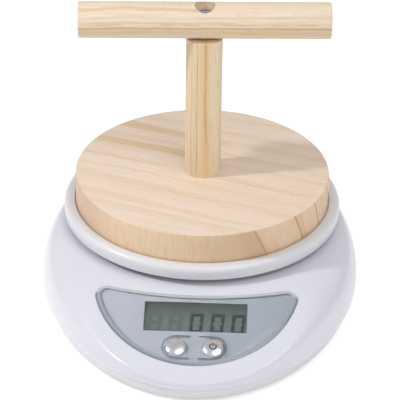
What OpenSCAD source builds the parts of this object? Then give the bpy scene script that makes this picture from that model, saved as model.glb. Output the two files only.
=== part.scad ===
// Bench scale for weighing a bird: an oval plastic housing with a sloping display panel,
// a round pan on a load cell, and a wooden perch stand that rests on the pan.
// Millimetres, +Z up, the display faces -Y, z = 0 is the table under the feet,
// and the origin is under the middle of the oval.

/* [Housing outline] */
// How far the housing reaches out beside the pan, on each side
side_margin = 10.1; // [9:0.1:14]
// How far the housing reaches out behind the pan
rear_margin = 7.3; // [6:0.1:12]
// How far the housing reaches out in front of the display panel
front_margin = 11.18; // [9:0.01:16]
// Share by which the two ends of the oval are drawn in
end_pinch = 0.05; // [0:0.01:0.08]

/* [Housing heights] */
// Gap between the table and the bottom cover
foot_clearance = 2.4; // [1.6:0.1:3.4]
// Height of the seam between the cover and the shell
seam_height = 9; // [8:0.1:10]
// Height at which the housing is widest
widest_height = 15.3; // [14:0.1:17]
// Height of the flat deck under the pan
deck_height = 38.3; // [37.6:0.1:42]

/* [Housing form] */
// Wall of the top shell
shell_wall = 2.4; // [2:0.1:2.8]
// Thickness of the bottom cover's floor
floor_thick = 2.2; // [1.8:0.1:2.6]
// How far the deck's edge, where the shoulder starts, lies inside the pan's edge
deck_margin = 4.3; // [3.6:0.1:6]
// Fullness of the shoulder, 2 is an ellipse and more is squarer
shoulder_power = 2.9; // [2.4:0.1:3.4]
// How far the shell's lower edge is drawn in at the seam
seam_inset = 2.7; // [2:0.1:3.4]
// How far the foot of the bottom cover is drawn in
bottom_inset = 4.9; // [4:0.1:6]
// Width of the soft edge where the sloping front meets the shoulder
facet_blend = 2.8; // [2:0.1:4]

/* [Display panel] */
// Slope of the front of the housing, in degrees
panel_slope = 22; // [20:0.5:23]
// Gap between the pan and the panel's upper edge, seen from above
panel_gap = 6.2; // [5:0.1:9]
// Depth of the panel's upper edge below the deck
panel_drop = 2.3; // [1.8:0.1:3]
// Radius of the panel's round lower edge
panel_radius = 55.5; // [52:0.1:58]
// Radius of the panel's hollow upper edge
panel_top_radius = 233; // [180:1:300]
// Radius of the panel's two corners
panel_corner = 6; // [4:0.5:8]
// Thickness of the clear panel
panel_thick = 1.6; // [1.4:0.1:1.8]
// Depth of the panel's seat in the shell
panel_seat = 1.2; // [1:0.1:1.4]
// Width of the sunk rim round the clear panel
panel_rim = 2.2; // [1:0.1:3]
// Thickness of the printed film behind the clear panel
film_thick = 0.2; // [0.1:0.05:0.3]

/* [Display] */
// Width of the display window
window_width = 54.9; // [50:0.1:57]
// Height of the display window
window_height = 18.7; // [16:0.1:19.2]
// Distance of the window below the panel's upper edge
window_margin = 4.6; // [4:0.1:6]
// How far the display glass reaches past each side of the window
glass_side_lap = 5.55; // [3:0.05:7]
// How far the display glass reaches past the window's upper and lower edge
glass_end_lap = 2.15; // [1:0.05:2.6]
// Thickness of the display glass
glass_thick = 2.2; // [1.8:0.1:2.8]
// Depth of the circuit board's face below the sloping front
board_depth = 8.8; // [8.4:0.1:9.6]
// Thickness of the circuit board
board_thick = 1.6; // [1:0.2:2]

/* [Buttons] */
// Diameter of a button
button_diameter = 10.9; // [9:0.1:11.2]
// Distance between the two buttons
button_pitch = 19.8; // [18:0.1:21]
// Gap between the window and the buttons
button_space = 4.95; // [4.6:0.05:8]
// Distance of the buttons from the panel's lower edge
button_margin = 5.85; // [4:0.05:8]
// How far a button's dome stands above the clear panel
button_rise = 1.5; // [1:0.1:2]
// Travel of a button
button_travel = 0.4; // [0.2:0.05:0.5]

/* [Pan] */
// Diameter of the pan
pan_diameter = 155.2; // [152:0.2:158]
// Height of the pan's floor above the table
pan_floor_height = 48; // [47.6:0.1:50]
// Thickness of the pan's floor
pan_thick = 2.4; // [2:0.1:2.6]
// Height of the rim's crest above the pan's floor
rim_rise = 1.2; // [0.6:0.1:2]
// Width of the rim round the pan's floor
rim_width = 6; // [4.5:0.1:9]
// Height of the pan's skirt below the crest
skirt_height = 7.4; // [6:0.1:8]
// Radius of the rim's rounded outer edge
rim_round = 3; // [2:0.1:3.4]
// Thickness of the pan's skirt
skirt_thick = 2; // [1.6:0.1:2.4]

/* [Pan support] */
// Diameter of the plate that carries the pan
support_diameter = 124; // [110:1:130]
// Thickness of that plate
support_thick = 2.2; // [1.8:0.1:2.4]
// Depth of the ribs under that plate
support_rib = 1.4; // [1:0.1:1.6]
// Sink of the pan from no load to the overload stops
pan_travel = 0.6; // [0.4:0.1:0.8]

/* [Load cell] */
// Length of the load cell
cell_length = 75; // [72:1:80]
// Width and height of the load cell
cell_side = 12.7; // [12:0.1:13.4]
// Height of the load cell's underside above the table
cell_height = 11; // [10:0.1:12]
// Distance between the two screws at each end
cell_pitch = 15; // [14:0.5:16]
// Distance of the outer screw from the end of the cell
cell_margin = 5; // [4.5:0.5:6]

/* [Batteries] */
// Diameter of a battery
battery_diameter = 14.5; // [14:0.1:14.5]
// Length of a battery over its terminal
battery_length = 50.5; // [49:0.1:50.5]
// Distance of the bay's middle behind the middle of the oval
bay_setback = 64.75; // [63:0.25:66]
// Length of a battery spring with the battery in place
spring_length = 6.1; // [5:0.1:9]
// Clearance of the batteries in the bay
battery_play = 1; // [0.8:0.1:1.2]

/* [Perch stand] */
// Clearance between the round board and the pan's rim
board_play = 0.6; // [0.3:0.1:3]
// Thickness of the round board
board_height = 18; // [12:0.5:24]
// Diameter of the post
post_diameter = 20; // [16:0.5:26]
// Length of the post
post_length = 83; // [60:1:120]
// Diameter of the perch bar
bar_diameter = 20; // [16:0.5:25]
// Length of the perch bar
bar_length = 137; // [100:1:160]
// Turn of the stand on the pan, in degrees
stand_turn = 2.75; // [0:0.25:10]
// Chamfer of the wooden edges
wood_chamfer = 0.8; // [0.4:0.1:1.5]

/* [Hidden] */
$fn = 96;

// Small distances used throughout
seam_play = 0.2;
hole_play = 0.05;
rest_play = 0.05;
eps = 0.01;

// Overall sizes, worked out from what the housing carries
pan_radius = pan_diameter / 2;
button_radius = button_diameter / 2;
window_drop = window_margin + window_height / 2;
button_drop = window_margin + window_height + button_space + button_radius;
panel_height = button_drop + button_radius + button_margin;
pan_to_panel = pan_radius + panel_gap;
pan_to_front = pan_to_panel + panel_height * cos(panel_slope) + front_margin;
pan_to_rear = pan_radius + rear_margin;
base_length = pan_to_front + pan_to_rear;
base_width = pan_diameter + 2 * side_margin;
pan_setback = (pan_to_front - pan_to_rear) / 2;
deck_radius = pan_radius - deck_margin;

// Round the oval
oval_steps = 80;
shoulder_steps = 11;
inner_steps = 7;

function plan(t) = [
    base_width / 2 * sin(t) * (1 - end_pinch * cos(t) * cos(t)),
    -base_length / 2 * cos(t)
];
function oval(t, inset) =
    let (along = plan(t + 1) - plan(t - 1))
    plan(t) - inset * [along[1], -along[0]] / norm(along);
function deck_point(t, radius) =
    let (out = plan(t) - [0, pan_setback])
    [0, pan_setback] + radius * out / norm(out);
function smooth_min(a, b, width) =
    min(a, b) - pow(max(width - abs(a - b), 0), 2) / (4 * width);
function oval_angles() = [for (i = [0 : oval_steps - 1]) 360 * i / oval_steps];
function oval_ring(inset, z) = [for (t = oval_angles()) concat(oval(t, inset), z)];
function deck_ring(radius, z) = [for (t = oval_angles()) concat(deck_point(t, radius), z)];

// The sloping front is a plane through the panel's upper edge
panel_y = pan_setback - pan_to_panel;
panel_z = deck_height - panel_drop;
function facet_z(y, depth) =
    panel_z + (y - panel_y) * tan(panel_slope) - depth / cos(panel_slope);
function shoulder(s) = pow(1 - pow(1 - s, shoulder_power), 1 / shoulder_power);
function shoulder_ring(s, wall) = [
    for (t = oval_angles())
        let (
            at = (1 - s) * oval(t, wall) + s * deck_point(t, deck_radius - wall / 2),
            dome = widest_height + (deck_height - wall - widest_height) * shoulder(s)
        )
        concat(at, smooth_min(dome, facet_z(at[1], wall), facet_blend))
];

// A closed solid through a list of rings, capped at the first and the last
module loft(rings) {
    n = len(rings[0]);
    last = len(rings) - 1;
    sides = [
        for (i = [0 : last - 1], j = [0 : n - 1])
            let (k = (j + 1) % n)
            each [
                [i * n + j, (i + 1) * n + j, (i + 1) * n + k],
                [i * n + j, (i + 1) * n + k, i * n + k]
            ]
    ];
    first_cap = [for (j = [0 : n - 1]) j];
    last_cap = [for (j = [n - 1 : -1 : 0]) last * n + j];
    polyhedron(points = [for (r = rings) each r], faces = concat(sides, [first_cap], [last_cap]));
}

// A tube swept along a smooth route through hand-picked points
function bend(p, i, u) =
    let (
        last = len(p) - 1,
        a = p[max(i - 1, 0)],
        b = p[i],
        c = p[min(i + 1, last)],
        d = p[min(i + 2, last)]
    )
    0.5 * (2 * b + (c - a) * u + (2 * a - 5 * b + 4 * c - d) * u * u
        + (3 * b - a - 3 * c + d) * u * u * u);
function route(p, cuts) = concat(
    [for (i = [0 : len(p) - 2], k = [0 : cuts - 1]) bend(p, i, k / cuts)],
    [p[len(p) - 1]]
);
function unit(v) = v / norm(v);
function tube_ring(centre, along, radius, sides) =
    let (
        right = unit(cross(along, abs(along[2]) > 0.9 * norm(along) ? [1, 0, 0] : [0, 0, 1])),
        up = unit(cross(right, along))
    )
    [
        for (k = [0 : sides - 1])
            let (a = 360 * k / sides)
            centre + radius * (cos(a) * up + sin(a) * right)
    ];
module tube(path, radius, sides) {
    last = len(path) - 1;
    loft([
        for (i = [0 : last])
            tube_ring(path[i], path[min(i + 1, last)] - path[max(i - 1, 0)], radius, sides)
    ]);
}

// Heights and places worked out from the sizes above
cover_top = foot_clearance + floor_thick;
tongue_top = seam_height + 1.9;
lap_top = tongue_top + 0.3;
lap_wall = 1.3;

module on_panel() {
    translate([0, panel_y, panel_z]) rotate([panel_slope, 0, 0]) children();
}
module below_facet(depth) {
    on_panel() translate([-200, -200, -400 - depth]) cube([400, 400, 400]);
}

// Display stack, measured along the sloping front's normal
film_top = -panel_seat + film_thick;
panel_top = film_top + panel_thick;
glass_width = window_width + 2 * glass_side_lap;
glass_height = window_height + 2 * glass_end_lap;
glass_top = -shell_wall - 0.2;
glass_under = glass_top - glass_thick;
frame_wall = 1;
frame_play = 0.1;
frame_width = glass_width + 2 * (frame_wall + frame_play);
frame_height = glass_height + 2 * (frame_wall + frame_play);

// Circuit board: two holes beside the display's holder and two beside the buttons
board_under = -board_depth - board_thick;
upper_hole = [frame_width / 2 + 4.4, 1];
lower_hole = [button_pitch / 2 + 14.1, -button_drop - 5.8];
board_holes = [
    [-upper_hole[0], upper_hole[1]],
    upper_hole,
    [-lower_hole[0], lower_hole[1]],
    lower_hole
];
board_edge = 3.5;
board_half = upper_hole[0] + board_edge;
board_nose = lower_hole[0] + board_edge;
board_taper = -window_drop - 10;
board_boss = 2.5;
board_screw_size = [3.6, 1.4, 1.8];
board_screw_bite = 4;
blob_radius = 10;
blob_rise = 2;
blob_side = 6;

// Housing screws: four under the deck's edge and two beside the display
screw_ring = deck_radius - 4;
screw_angle = 47.3;
screw_half = screw_ring * cos(screw_angle);
screw_reach = screw_ring * sin(screw_angle);
front_screw = [board_half + 10, pan_setback - pan_to_front + 38.8];
screw_places = [
    [-screw_half, pan_setback - screw_reach],
    [screw_half, pan_setback - screw_reach],
    [-screw_half, pan_setback + screw_reach],
    [screw_half, pan_setback + screw_reach],
    [-front_screw[0], front_screw[1]],
    front_screw
];
cover_boss = 4.5;
shell_boss = 4;
post_join = cover_top + 9.4;
housing_head = [5.6, 2.2];
housing_shank = 2.9;
housing_ledge = cover_top + 4.4;
housing_bite = 9;

// Feet
foot_radius = 5;
foot_seat = 0.8;
foot_front = [38, 28.8 - base_length / 2];
foot_rear = [30, base_length / 2 - 20.8];

// Load cell ends, measured from the pan's axis
cell_top = cell_height + cell_side;
outer_hole = cell_length / 2 - cell_margin;
inner_hole = outer_hole - cell_pitch;
cell_screw = [7, 2.6, 4];
cell_bite = 8;
cell_ledge = cover_top + 2.4;
saddle_floor = 3;
flex_half = 9;
flex_slot = 3.6;
flex_radius = cell_side * 0.38;
gauge_cover = [22, cell_side - 2, 1];

// Pan and its support
pan_under = pan_floor_height - pan_thick;
crest_height = pan_floor_height + rim_rise;
recess_radius = pan_radius - rim_width;
support_under = pan_under - support_thick;
rib_under = support_under - support_rib;
stop_ring = 50;
stop_radius = 2.5;
rib_width = 2;
inner_rib_ring = 30;
peg_ring = 36;
peg_radius = 2;
saddle_wall = 2;
saddle_margin = cell_screw[0] / 2 + 0.5 + saddle_wall;
saddle_length = cell_pitch + 2 * saddle_margin;
saddle_width = cell_side + 4;
saddle_middle = (inner_hole + outer_hole) / 2;

// Battery bay
battery_radius = battery_diameter / 2;
bay_width = 2 * battery_diameter + 2 * battery_play + 0.5;
bay_front = bay_setback - bay_width / 2;
bay_rear = bay_setback + bay_width / 2;
bay_wall = 3.8;
bay_ledge = 1.7;
bay_roof = 1.6;
bay_top = cover_top + battery_diameter + battery_play;
battery_z = cover_top + battery_play / 2 + battery_radius;
battery_y = [
    bay_setback - battery_radius - battery_play / 2,
    bay_setback + battery_radius + battery_play / 2
];
door_play = 0.3;
door_latch = [16, 1, 3.2];
notch_radius = 9.6;
notch_width = 18;
notch_depth = 1;
hinge_radius = floor_thick;
hinge_y = bay_front + 1;
hinge_z = cover_top;
hinge_pin = 1.2;
hinge_pin_length = 1.4;
contact_thick = 0.4;
contact_width = 9;
pad_rise = 0.6;
terminal_rise = 1.2;
terminal_radius = 2.7;
bay_length = battery_length + 2 * contact_thick + pad_rise + spring_length;
battery_shift = bay_length / 2 - contact_thick - pad_rise - battery_length / 2;
spring_wire = 0.8;
spring_turns = 3.5;
spring_steps = 12;
spring_base = 4;
spring_tip = 2.6;

// Routes of the cables inside the housing, as points chosen by hand
gauge_route = [
    [-11.15, 25.9, 25.1], [-17, 24, 26], [-22, 18.5, 26.4], [-26, 11, 21], [-26, 0, 11],
    [-22, -25, 8], [-16, -50, 12], [-14, -59.2, 17.6], [-14, -61.4, 23.1]
];
red_route = [
    [-29.15, 72.5, 12.35], [-36, 72, 12.3], [-41, 60, 9], [-43, 26, 7.5], [-40, -20, 8],
    [-36, -52, 11], [-34, -66.6, 14.6], [-34, -68.8, 20.15]
];
black_route = [
    [-29.15, 57, 12.35], [-32.5, 57, 12.35], [-36, 55.5, 11.8], [-39, 47, 8], [-40.4, 26, 7.2], [-37, -20, 8],
    [-32, -52, 11], [-30, -66.6, 14.6], [-30, -68.8, 20.15]
];

// Buttons and their switches, on the same scale
button_places = [[-button_pitch / 2, -button_drop], [button_pitch / 2, -button_drop]];
button_gap = 0.15;
button_edge = 0.3;
button_dome = button_rise - button_edge;
button_dome_radius = (button_radius * button_radius + button_dome * button_dome) / (2 * button_dome);
flange_radius = button_radius + 0.6;
flange_top = -shell_wall - 0.05;
flange_thick = 1;
switch_side = 6;
switch_height = 3.5;
stem_radius = 1.7;
stem_rise = 1.2;
stem_tail = 1.6;
stem_top = -board_depth + switch_height + stem_rise;
groove_width = 1;
groove_depth = 0.3;
groove_radius = button_radius + 1.5;
groove_tail = 3.6;

// Points along an arc, its last point left to the next arc
function arc(centre, radius, from, to, steps) = [
    for (i = [0 : steps - 1])
        let (a = from + (to - from) * i / steps)
        centre + radius * [cos(a), sin(a)]
];
// The panel's outline: a round lower edge, two round corners and a hollow upper edge
panel_rise = panel_radius - panel_height;
lower_centre = [0, panel_rise];
upper_centre = [0, panel_top_radius];
corner_far = panel_radius - panel_corner;
corner_near = panel_top_radius + panel_corner;
centre_gap = panel_top_radius - panel_rise;
corner_climb = (corner_far * corner_far - corner_near * corner_near + centre_gap * centre_gap)
    / (2 * centre_gap);
corner_side = sqrt(corner_far * corner_far - corner_climb * corner_climb);
corner_centre = [corner_side, panel_rise + corner_climb];
low_angle = atan2(corner_climb, corner_side);
high_angle = atan2(centre_gap - corner_climb, -corner_side);
function panel_outline(inset) = concat(
    arc(lower_centre, panel_radius - inset, -180 - low_angle, low_angle, 40),
    arc(corner_centre, panel_corner - inset, low_angle, high_angle, 8),
    arc(upper_centre, panel_top_radius + inset, high_angle - 180, -high_angle, 14),
    arc(
        [-corner_centre[0], corner_centre[1]], panel_corner - inset,
        180 - high_angle, 180 - low_angle, 8
    )
);

module disc(radius, low, high) {
    translate([0, 0, low]) cylinder(r = radius, h = high - low);
}
module slab(width, height, low, high) {
    translate([-width / 2, -height / 2, low]) cube([width, height, high - low]);
}
// A disc with its two edges chamfered
module chamfered_disc(radius, low, high, chamfer) {
    rotate_extrude() polygon([
        [0, low],
        [radius - chamfer, low],
        [radius, low + chamfer],
        [radius, high - chamfer],
        [radius - chamfer, high],
        [0, high]
    ]);
}
// A pan-head screw with a cross recess, its head's seat at z = 0 and its point down
module pan_screw(head, head_height, shank, length) {
    cross_width = head * 0.13;
    cross_depth = head_height * 0.55;
    difference() {
        union() {
            intersection() {
                disc(head / 2, 0, head_height);
                translate([0, 0, head_height - head * 0.75]) sphere(r = head * 0.75);
            }
            disc(shank / 2, -length + shank, eps);
            translate([0, 0, -length]) cylinder(r1 = shank * 0.12, r2 = shank / 2, h = shank);
        }
        for (turn = [0, 90])
            rotate([0, 0, turn]) translate([0, 0, head_height - cross_depth])
                slab(head * 0.56, cross_width, 0, head_height);
    }
}

// Bottom half of the housing

cover_rings = [
    oval_ring(bottom_inset + 6, foot_clearance),
    oval_ring(bottom_inset + 1.2, foot_clearance),
    oval_ring(bottom_inset + 0.3, foot_clearance + 0.4),
    oval_ring(bottom_inset - 0.2, foot_clearance + 1.2),
    oval_ring(seam_inset + 0.5, seam_height - 0.4),
    oval_ring(seam_inset + 0.8, seam_height),
    oval_ring(seam_inset + lap_wall + seam_play, seam_height),
    oval_ring(seam_inset + lap_wall + seam_play, tongue_top),
    oval_ring(seam_inset + lap_wall + seam_play + 1.3, tongue_top),
    oval_ring(bottom_inset + 2.2, cover_top + 1),
    oval_ring(bottom_inset + 3.2, cover_top),
    oval_ring(bottom_inset + 6, cover_top)
];

module bay_walls() {
    translate([0, bay_setback, 0]) difference() {
        slab(
            bay_length + 2 * bay_wall, bay_width + 2 * bay_wall,
            foot_clearance + eps, bay_top + bay_roof
        );
        slab(bay_length, bay_width, foot_clearance - 1, bay_top);
    }
}
module door_opening() {
    translate([0, bay_setback, 0])
        slab(bay_length + 2 * bay_ledge, bay_width + 2 * bay_ledge, foot_clearance - 1, cover_top);
    translate([0, hinge_y, hinge_z]) rotate([0, 90, 0])
        cylinder(r = hinge_radius + 0.15, h = bay_length + 2 * bay_ledge, center = true);
    translate([0, hinge_y, hinge_z]) rotate([0, 90, 0]) cylinder(
        r = hinge_pin + 0.07, h = bay_length + 2 * (bay_ledge + hinge_pin_length + 0.2), center = true
    );
}

module bottom_cover() color([0.88, 0.88, 0.9]) {
    difference() {
        union() {
            loft(cover_rings);
            for (p = screw_places) translate(p) disc(cover_boss, foot_clearance + 0.5, post_join);
            translate([-(outer_hole + inner_hole) / 2, pan_setback, 0])
                slab(cell_pitch + 2 * cell_margin, cell_side + 3, foot_clearance + 0.5, cell_height);
            bay_walls();
        }
        for (p = screw_places) translate(p) {
            disc(housing_head[0] / 2 + 0.4, foot_clearance - 1, housing_ledge);
            disc(housing_shank / 2 + 0.2, housing_ledge - 1, post_join + 1);
        }
        for (x = [-outer_hole, -inner_hole]) translate([x, pan_setback, 0]) {
            disc(cell_screw[0] / 2 + 0.4, foot_clearance - 1, cell_ledge);
            disc(cell_screw[2] / 2 + 0.2, cell_ledge - 1, cell_height + 1);
        }
        for (x = [-1, 1]) {
            translate([x * foot_front[0], foot_front[1], 0])
                disc(foot_radius + hole_play, foot_clearance - 1, foot_clearance + foot_seat);
            translate([x * foot_rear[0], foot_rear[1], 0])
                disc(foot_radius + hole_play, foot_clearance - 1, foot_clearance + foot_seat);
        }
        door_opening();
        for (y = battery_y) translate([-bay_length / 2 - bay_wall - 1, y, battery_z]) rotate([0, 90, 0])
            cylinder(r = 1.1, h = bay_wall + 2);
    }
}

// Top half of the housing

shell_rings = concat(
    [deck_ring(deck_radius - 9, deck_height - shell_wall)],
    [for (i = [inner_steps : -1 : 0]) shoulder_ring(pow(i / inner_steps, 1.6), shell_wall)],
    [
        oval_ring(seam_inset + shell_wall, lap_top),
        oval_ring(seam_inset + lap_wall, lap_top),
        oval_ring(seam_inset + lap_wall, seam_height),
        oval_ring(seam_inset + 0.3, seam_height),
        oval_ring(seam_inset, seam_height + 0.3)
    ],
    [
        for (u = [0.35, 0.65])
            oval_ring(
                seam_inset * pow(1 - u, 1.6),
                seam_height + 0.3 + (widest_height - seam_height - 0.3) * u
            )
    ],
    [for (i = [0 : shoulder_steps]) shoulder_ring(pow(i / shoulder_steps, 1.6), 0)],
    [deck_ring(deck_radius - 8, deck_height)]
);

module button_hole(radius) {
    for (p = button_places) translate(p) disc(radius, -shell_wall - 4, 4);
}

module top_shell() color([0.9, 0.9, 0.94]) {
    difference() {
        union() {
            loft(shell_rings);
            for (i = [0 : 3]) translate(screw_places[i])
                disc(shell_boss, post_join, deck_height - shell_wall / 2);
            intersection() {
                for (i = [4, 5]) translate(screw_places[i]) disc(shell_boss, post_join, deck_height);
                below_facet(shell_wall / 2);
            }
            on_panel() for (p = board_holes) translate(p) disc(board_boss, -board_depth, -shell_wall / 2);
            for (a = [45 : 90 : 315])
                translate([stop_ring * cos(a), pan_setback + stop_ring * sin(a), 0])
                    disc(stop_radius, deck_height - shell_wall / 2, rib_under - pan_travel);
        }
        on_panel() {
            translate([0, 0, -panel_seat]) linear_extrude(6) polygon(panel_outline(-seam_play));
            translate([0, -window_drop, 0]) slab(window_width + 2.4, window_height + 2.2, -shell_wall - 3, 1);
            translate([0, -window_drop, 0])
                slab(frame_width + 0.4, frame_height + 0.4, -board_depth, -shell_wall);
            button_hole(button_radius + button_gap);
            for (p = board_holes) translate(p)
                disc(
                    board_screw_size[2] / 2 + hole_play,
                    -board_depth - 1, -board_depth + board_screw_bite + 0.6
                );
        }
        for (p = screw_places) translate(p)
            disc(housing_shank / 2 + hole_play, post_join - 1, post_join + housing_bite + 1);
        translate([saddle_middle, pan_setback, 0])
            slab(saddle_length + 4, saddle_width + 4, deck_height - shell_wall - 2, deck_height + 2);
    }
}

// Display panel and what lies behind it

// A round groove, open towards the other button, with two short straight ends
module button_groove(side) {
    inner = groove_radius - groove_width / 2;
    difference() {
        union() {
            difference() {
                circle(r = inner + groove_width);
                circle(r = inner);
            }
            for (end = [-1, 1]) translate([side * groove_tail, end * groove_radius])
                square([groove_tail, groove_width], center = true);
        }
        translate([side * (groove_radius + 1.9), 0]) square([2 * groove_radius, 2 * inner], center = true);
    }
}

module front_panel() color([0.8, 0.85, 0.95, 0.5]) on_panel() difference() {
    union() {
        translate([0, 0, film_top]) linear_extrude(panel_thick * 0.6) polygon(panel_outline(0));
        translate([0, 0, film_top]) linear_extrude(panel_thick) polygon(panel_outline(panel_rim));
    }
    button_hole(button_radius + button_gap);
    for (side = [-1, 1]) translate([side * button_pitch / 2, -button_drop, panel_top - groove_depth])
        linear_extrude(1) button_groove(-side);
}

module panel_print() color([0.78, 0.78, 0.83]) on_panel() difference() {
    translate([0, 0, -panel_seat]) linear_extrude(film_thick) polygon(panel_outline(panel_rim));
    translate([0, -window_drop, 0]) slab(window_width, window_height, -panel_seat - 1, 1);
    button_hole(button_radius + button_gap);
}

module lcd_glass() color([0.62, 0.68, 0.62]) on_panel() translate([0, -window_drop, 0])
    slab(glass_width, glass_height, glass_under, glass_top);

module lcd_frame() color([0.2, 0.2, 0.22]) on_panel() translate([0, -window_drop, 0]) difference() {
    slab(frame_width, frame_height, -board_depth, -shell_wall);
    slab(glass_width + 0.2, glass_height + 0.2, glass_under, 0);
    slab(glass_width - 4, glass_height - 0.6, -board_depth - 1, glass_under + 1);
}

module lcd_connectors() color([0.85, 0.5, 0.6]) on_panel() translate([0, -window_drop, 0])
    for (side = [-1, 1]) translate([0, side * (glass_height / 2 - 1.5), 0])
        slab(glass_width - 8, 2, -board_depth, glass_under);

module main_board() color([0.1, 0.4, 0.25]) on_panel() difference() {
    translate([0, 0, board_under]) linear_extrude(board_thick)
        polygon([
            [-board_half, upper_hole[1] + board_edge],
            [-board_half, board_taper],
            [-board_nose, lower_hole[1] - board_edge],
            [board_nose, lower_hole[1] - board_edge],
            [board_half, board_taper],
            [board_half, upper_hole[1] + board_edge]
        ]);
    for (p = board_holes) translate(p) disc(board_screw_size[2] / 2 + 0.2, board_under - 1, 0);
}

module controller() color([0.05, 0.05, 0.05]) on_panel() intersection() {
    translate([blob_side, -window_drop, board_under + blob_radius - blob_rise]) sphere(r = blob_radius);
    translate([blob_side, -window_drop, 0])
        slab(2 * blob_radius, 2 * blob_radius, board_under - blob_rise - 1, board_under);
}

module board_screws() color([0.75, 0.75, 0.78]) on_panel() for (p = board_holes)
    translate([p[0], p[1], board_under]) rotate([180, 0, 0])
        pan_screw(
            board_screw_size[0], board_screw_size[1], board_screw_size[2], board_thick + board_screw_bite
        );

module tact_switch(place) color([0.15, 0.15, 0.16]) on_panel() translate(place) difference() {
    slab(switch_side, switch_side, -board_depth, -board_depth + switch_height);
    disc(stem_radius + hole_play, -board_depth + switch_height - stem_tail - button_travel - 0.3, 0);
}
module tact_stem(place) color([0.1, 0.1, 0.1]) on_panel() translate(place)
    disc(stem_radius, stem_top - stem_rise - stem_tail, stem_top);

module unit_switch() tact_switch(button_places[0]);
module power_switch() tact_switch(button_places[1]);
module unit_switch_stem() tact_stem(button_places[0]);
module power_switch_stem() tact_stem(button_places[1]);

// A domed push button with a flange that stops it behind the shell
module push_button(place) color([0.85, 0.87, 0.9]) on_panel() translate(place) {
    intersection() {
        disc(button_radius, flange_top - flange_thick, panel_top + button_rise + 1);
        translate([0, 0, panel_top + button_rise - button_dome_radius]) sphere(r = button_dome_radius);
    }
    disc(button_radius, flange_top - flange_thick, panel_top + button_edge);
    disc(flange_radius, flange_top - flange_thick, flange_top);
    disc(2.4, stem_top, flange_top - flange_thick + eps);
}
module unit_button() push_button(button_places[0]);
module power_button() push_button(button_places[1]);

// Load cell: an aluminium beam with a dumb-bell opening that lets it bend

module load_cell() color([0.8, 0.81, 0.83]) translate([0, pan_setback, 0]) difference() {
    slab(cell_length, cell_side, cell_height, cell_top);
    translate([0, 0, (cell_height + cell_top) / 2]) rotate([90, 0, 0]) {
        for (x = [-flex_half, flex_half]) translate([x, 0, 0])
            cylinder(r = flex_radius, h = cell_side + 2, center = true);
        translate([-flex_half, -flex_slot / 2, -cell_side / 2 - 1])
            cube([2 * flex_half, flex_slot, cell_side + 2]);
    }
    for (x = [-outer_hole, -inner_hole, inner_hole, outer_hole]) translate([x, 0, 0])
        disc(cell_screw[2] / 2 + hole_play, cell_height - 1, cell_top + 1);
}

module gauge_covers() color([0.93, 0.93, 0.9]) translate([0, pan_setback, 0]) {
    slab(gauge_cover[0], gauge_cover[1], cell_top, cell_top + gauge_cover[2]);
    slab(gauge_cover[0], gauge_cover[1], cell_height - gauge_cover[2], cell_height);
}

module cell_screws() color([0.7, 0.7, 0.72]) for (x = [-outer_hole, -inner_hole])
    translate([x, pan_setback, cell_ledge]) rotate([180, 0, 0])
        pan_screw(cell_screw[0], cell_screw[1], cell_screw[2], cell_height - cell_ledge + cell_bite);

module support_screws() color([0.7, 0.7, 0.72]) for (x = [inner_hole, outer_hole])
    translate([x, pan_setback, cell_top + saddle_floor])
        pan_screw(cell_screw[0], cell_screw[1], cell_screw[2], saddle_floor + cell_bite);

// A round rib under the pan's support, its outer edge at a radius
module rib_ring(radius, width) difference() {
    disc(radius, rib_under, support_under + eps);
    disc(radius - width, rib_under - 1, support_under);
}
// Ribbed plate that carries the pan, with a hollow saddle down to the load cell
module platform_support() color([0.85, 0.85, 0.87]) translate([0, pan_setback, 0]) difference() {
    union() {
        disc(support_diameter / 2, support_under, pan_under);
        rib_ring(support_diameter / 2, rib_width);
        rib_ring(stop_ring + rib_width, 2 * rib_width);
        rib_ring(inner_rib_ring, rib_width);
        intersection() {
            disc(support_diameter / 2 - 1, rib_under, support_under + eps);
            for (a = [0 : 45 : 135]) rotate([0, 0, a])
                slab(support_diameter, rib_width, rib_under, support_under + 1);
        }
        translate([saddle_middle, 0, 0]) slab(saddle_length, saddle_width, cell_top, support_under + eps);
    }
    translate([saddle_middle, 0, 0])
        slab(
            saddle_length - 2 * saddle_wall, saddle_width - 2 * saddle_wall,
            cell_top + saddle_floor, pan_under + 1
        );
    for (x = [inner_hole, outer_hole]) translate([x, 0, 0])
        disc(cell_screw[2] / 2 + 0.2, cell_top - 1, cell_top + saddle_floor + 1);
    for (a = [22.5 : 90 : 292.5]) rotate([0, 0, a]) translate([peg_ring, 0, 0])
        disc(peg_radius + 0.1, rib_under - 1, pan_under + 1);
}

// Round pan with a rolled rim and a turned-down skirt
module pan() color([0.9, 0.9, 0.93]) translate([0, pan_setback, 0]) {
    rotate_extrude() {
        translate([0, pan_under]) square([pan_radius - rim_round, pan_thick]);
        translate([recess_radius, pan_under])
            square([rim_width - rim_round, crest_height - pan_under]);
        translate([pan_radius - rim_round, crest_height - rim_round]) circle(r = rim_round);
        translate([pan_radius - skirt_thick, crest_height - skirt_height])
            square([skirt_thick, skirt_height - rim_round]);
    }
    for (a = [22.5 : 90 : 292.5]) rotate([0, 0, a]) translate([peg_ring, 0, 0])
        disc(peg_radius, rib_under, pan_under + eps);
}

// Batteries and their contacts

module battery(place, turn) color([0.75, 0.75, 0.77]) translate([0, place, battery_z])
    rotate([0, 0, turn]) translate([battery_shift - battery_length / 2, 0, 0]) rotate([0, 90, 0]) {
        cylinder(r = battery_radius, h = battery_length - terminal_rise);
        cylinder(r = terminal_radius, h = battery_length);
    }
module battery_front() battery(battery_y[0], 0);
module battery_rear() battery(battery_y[1], 180);

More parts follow.
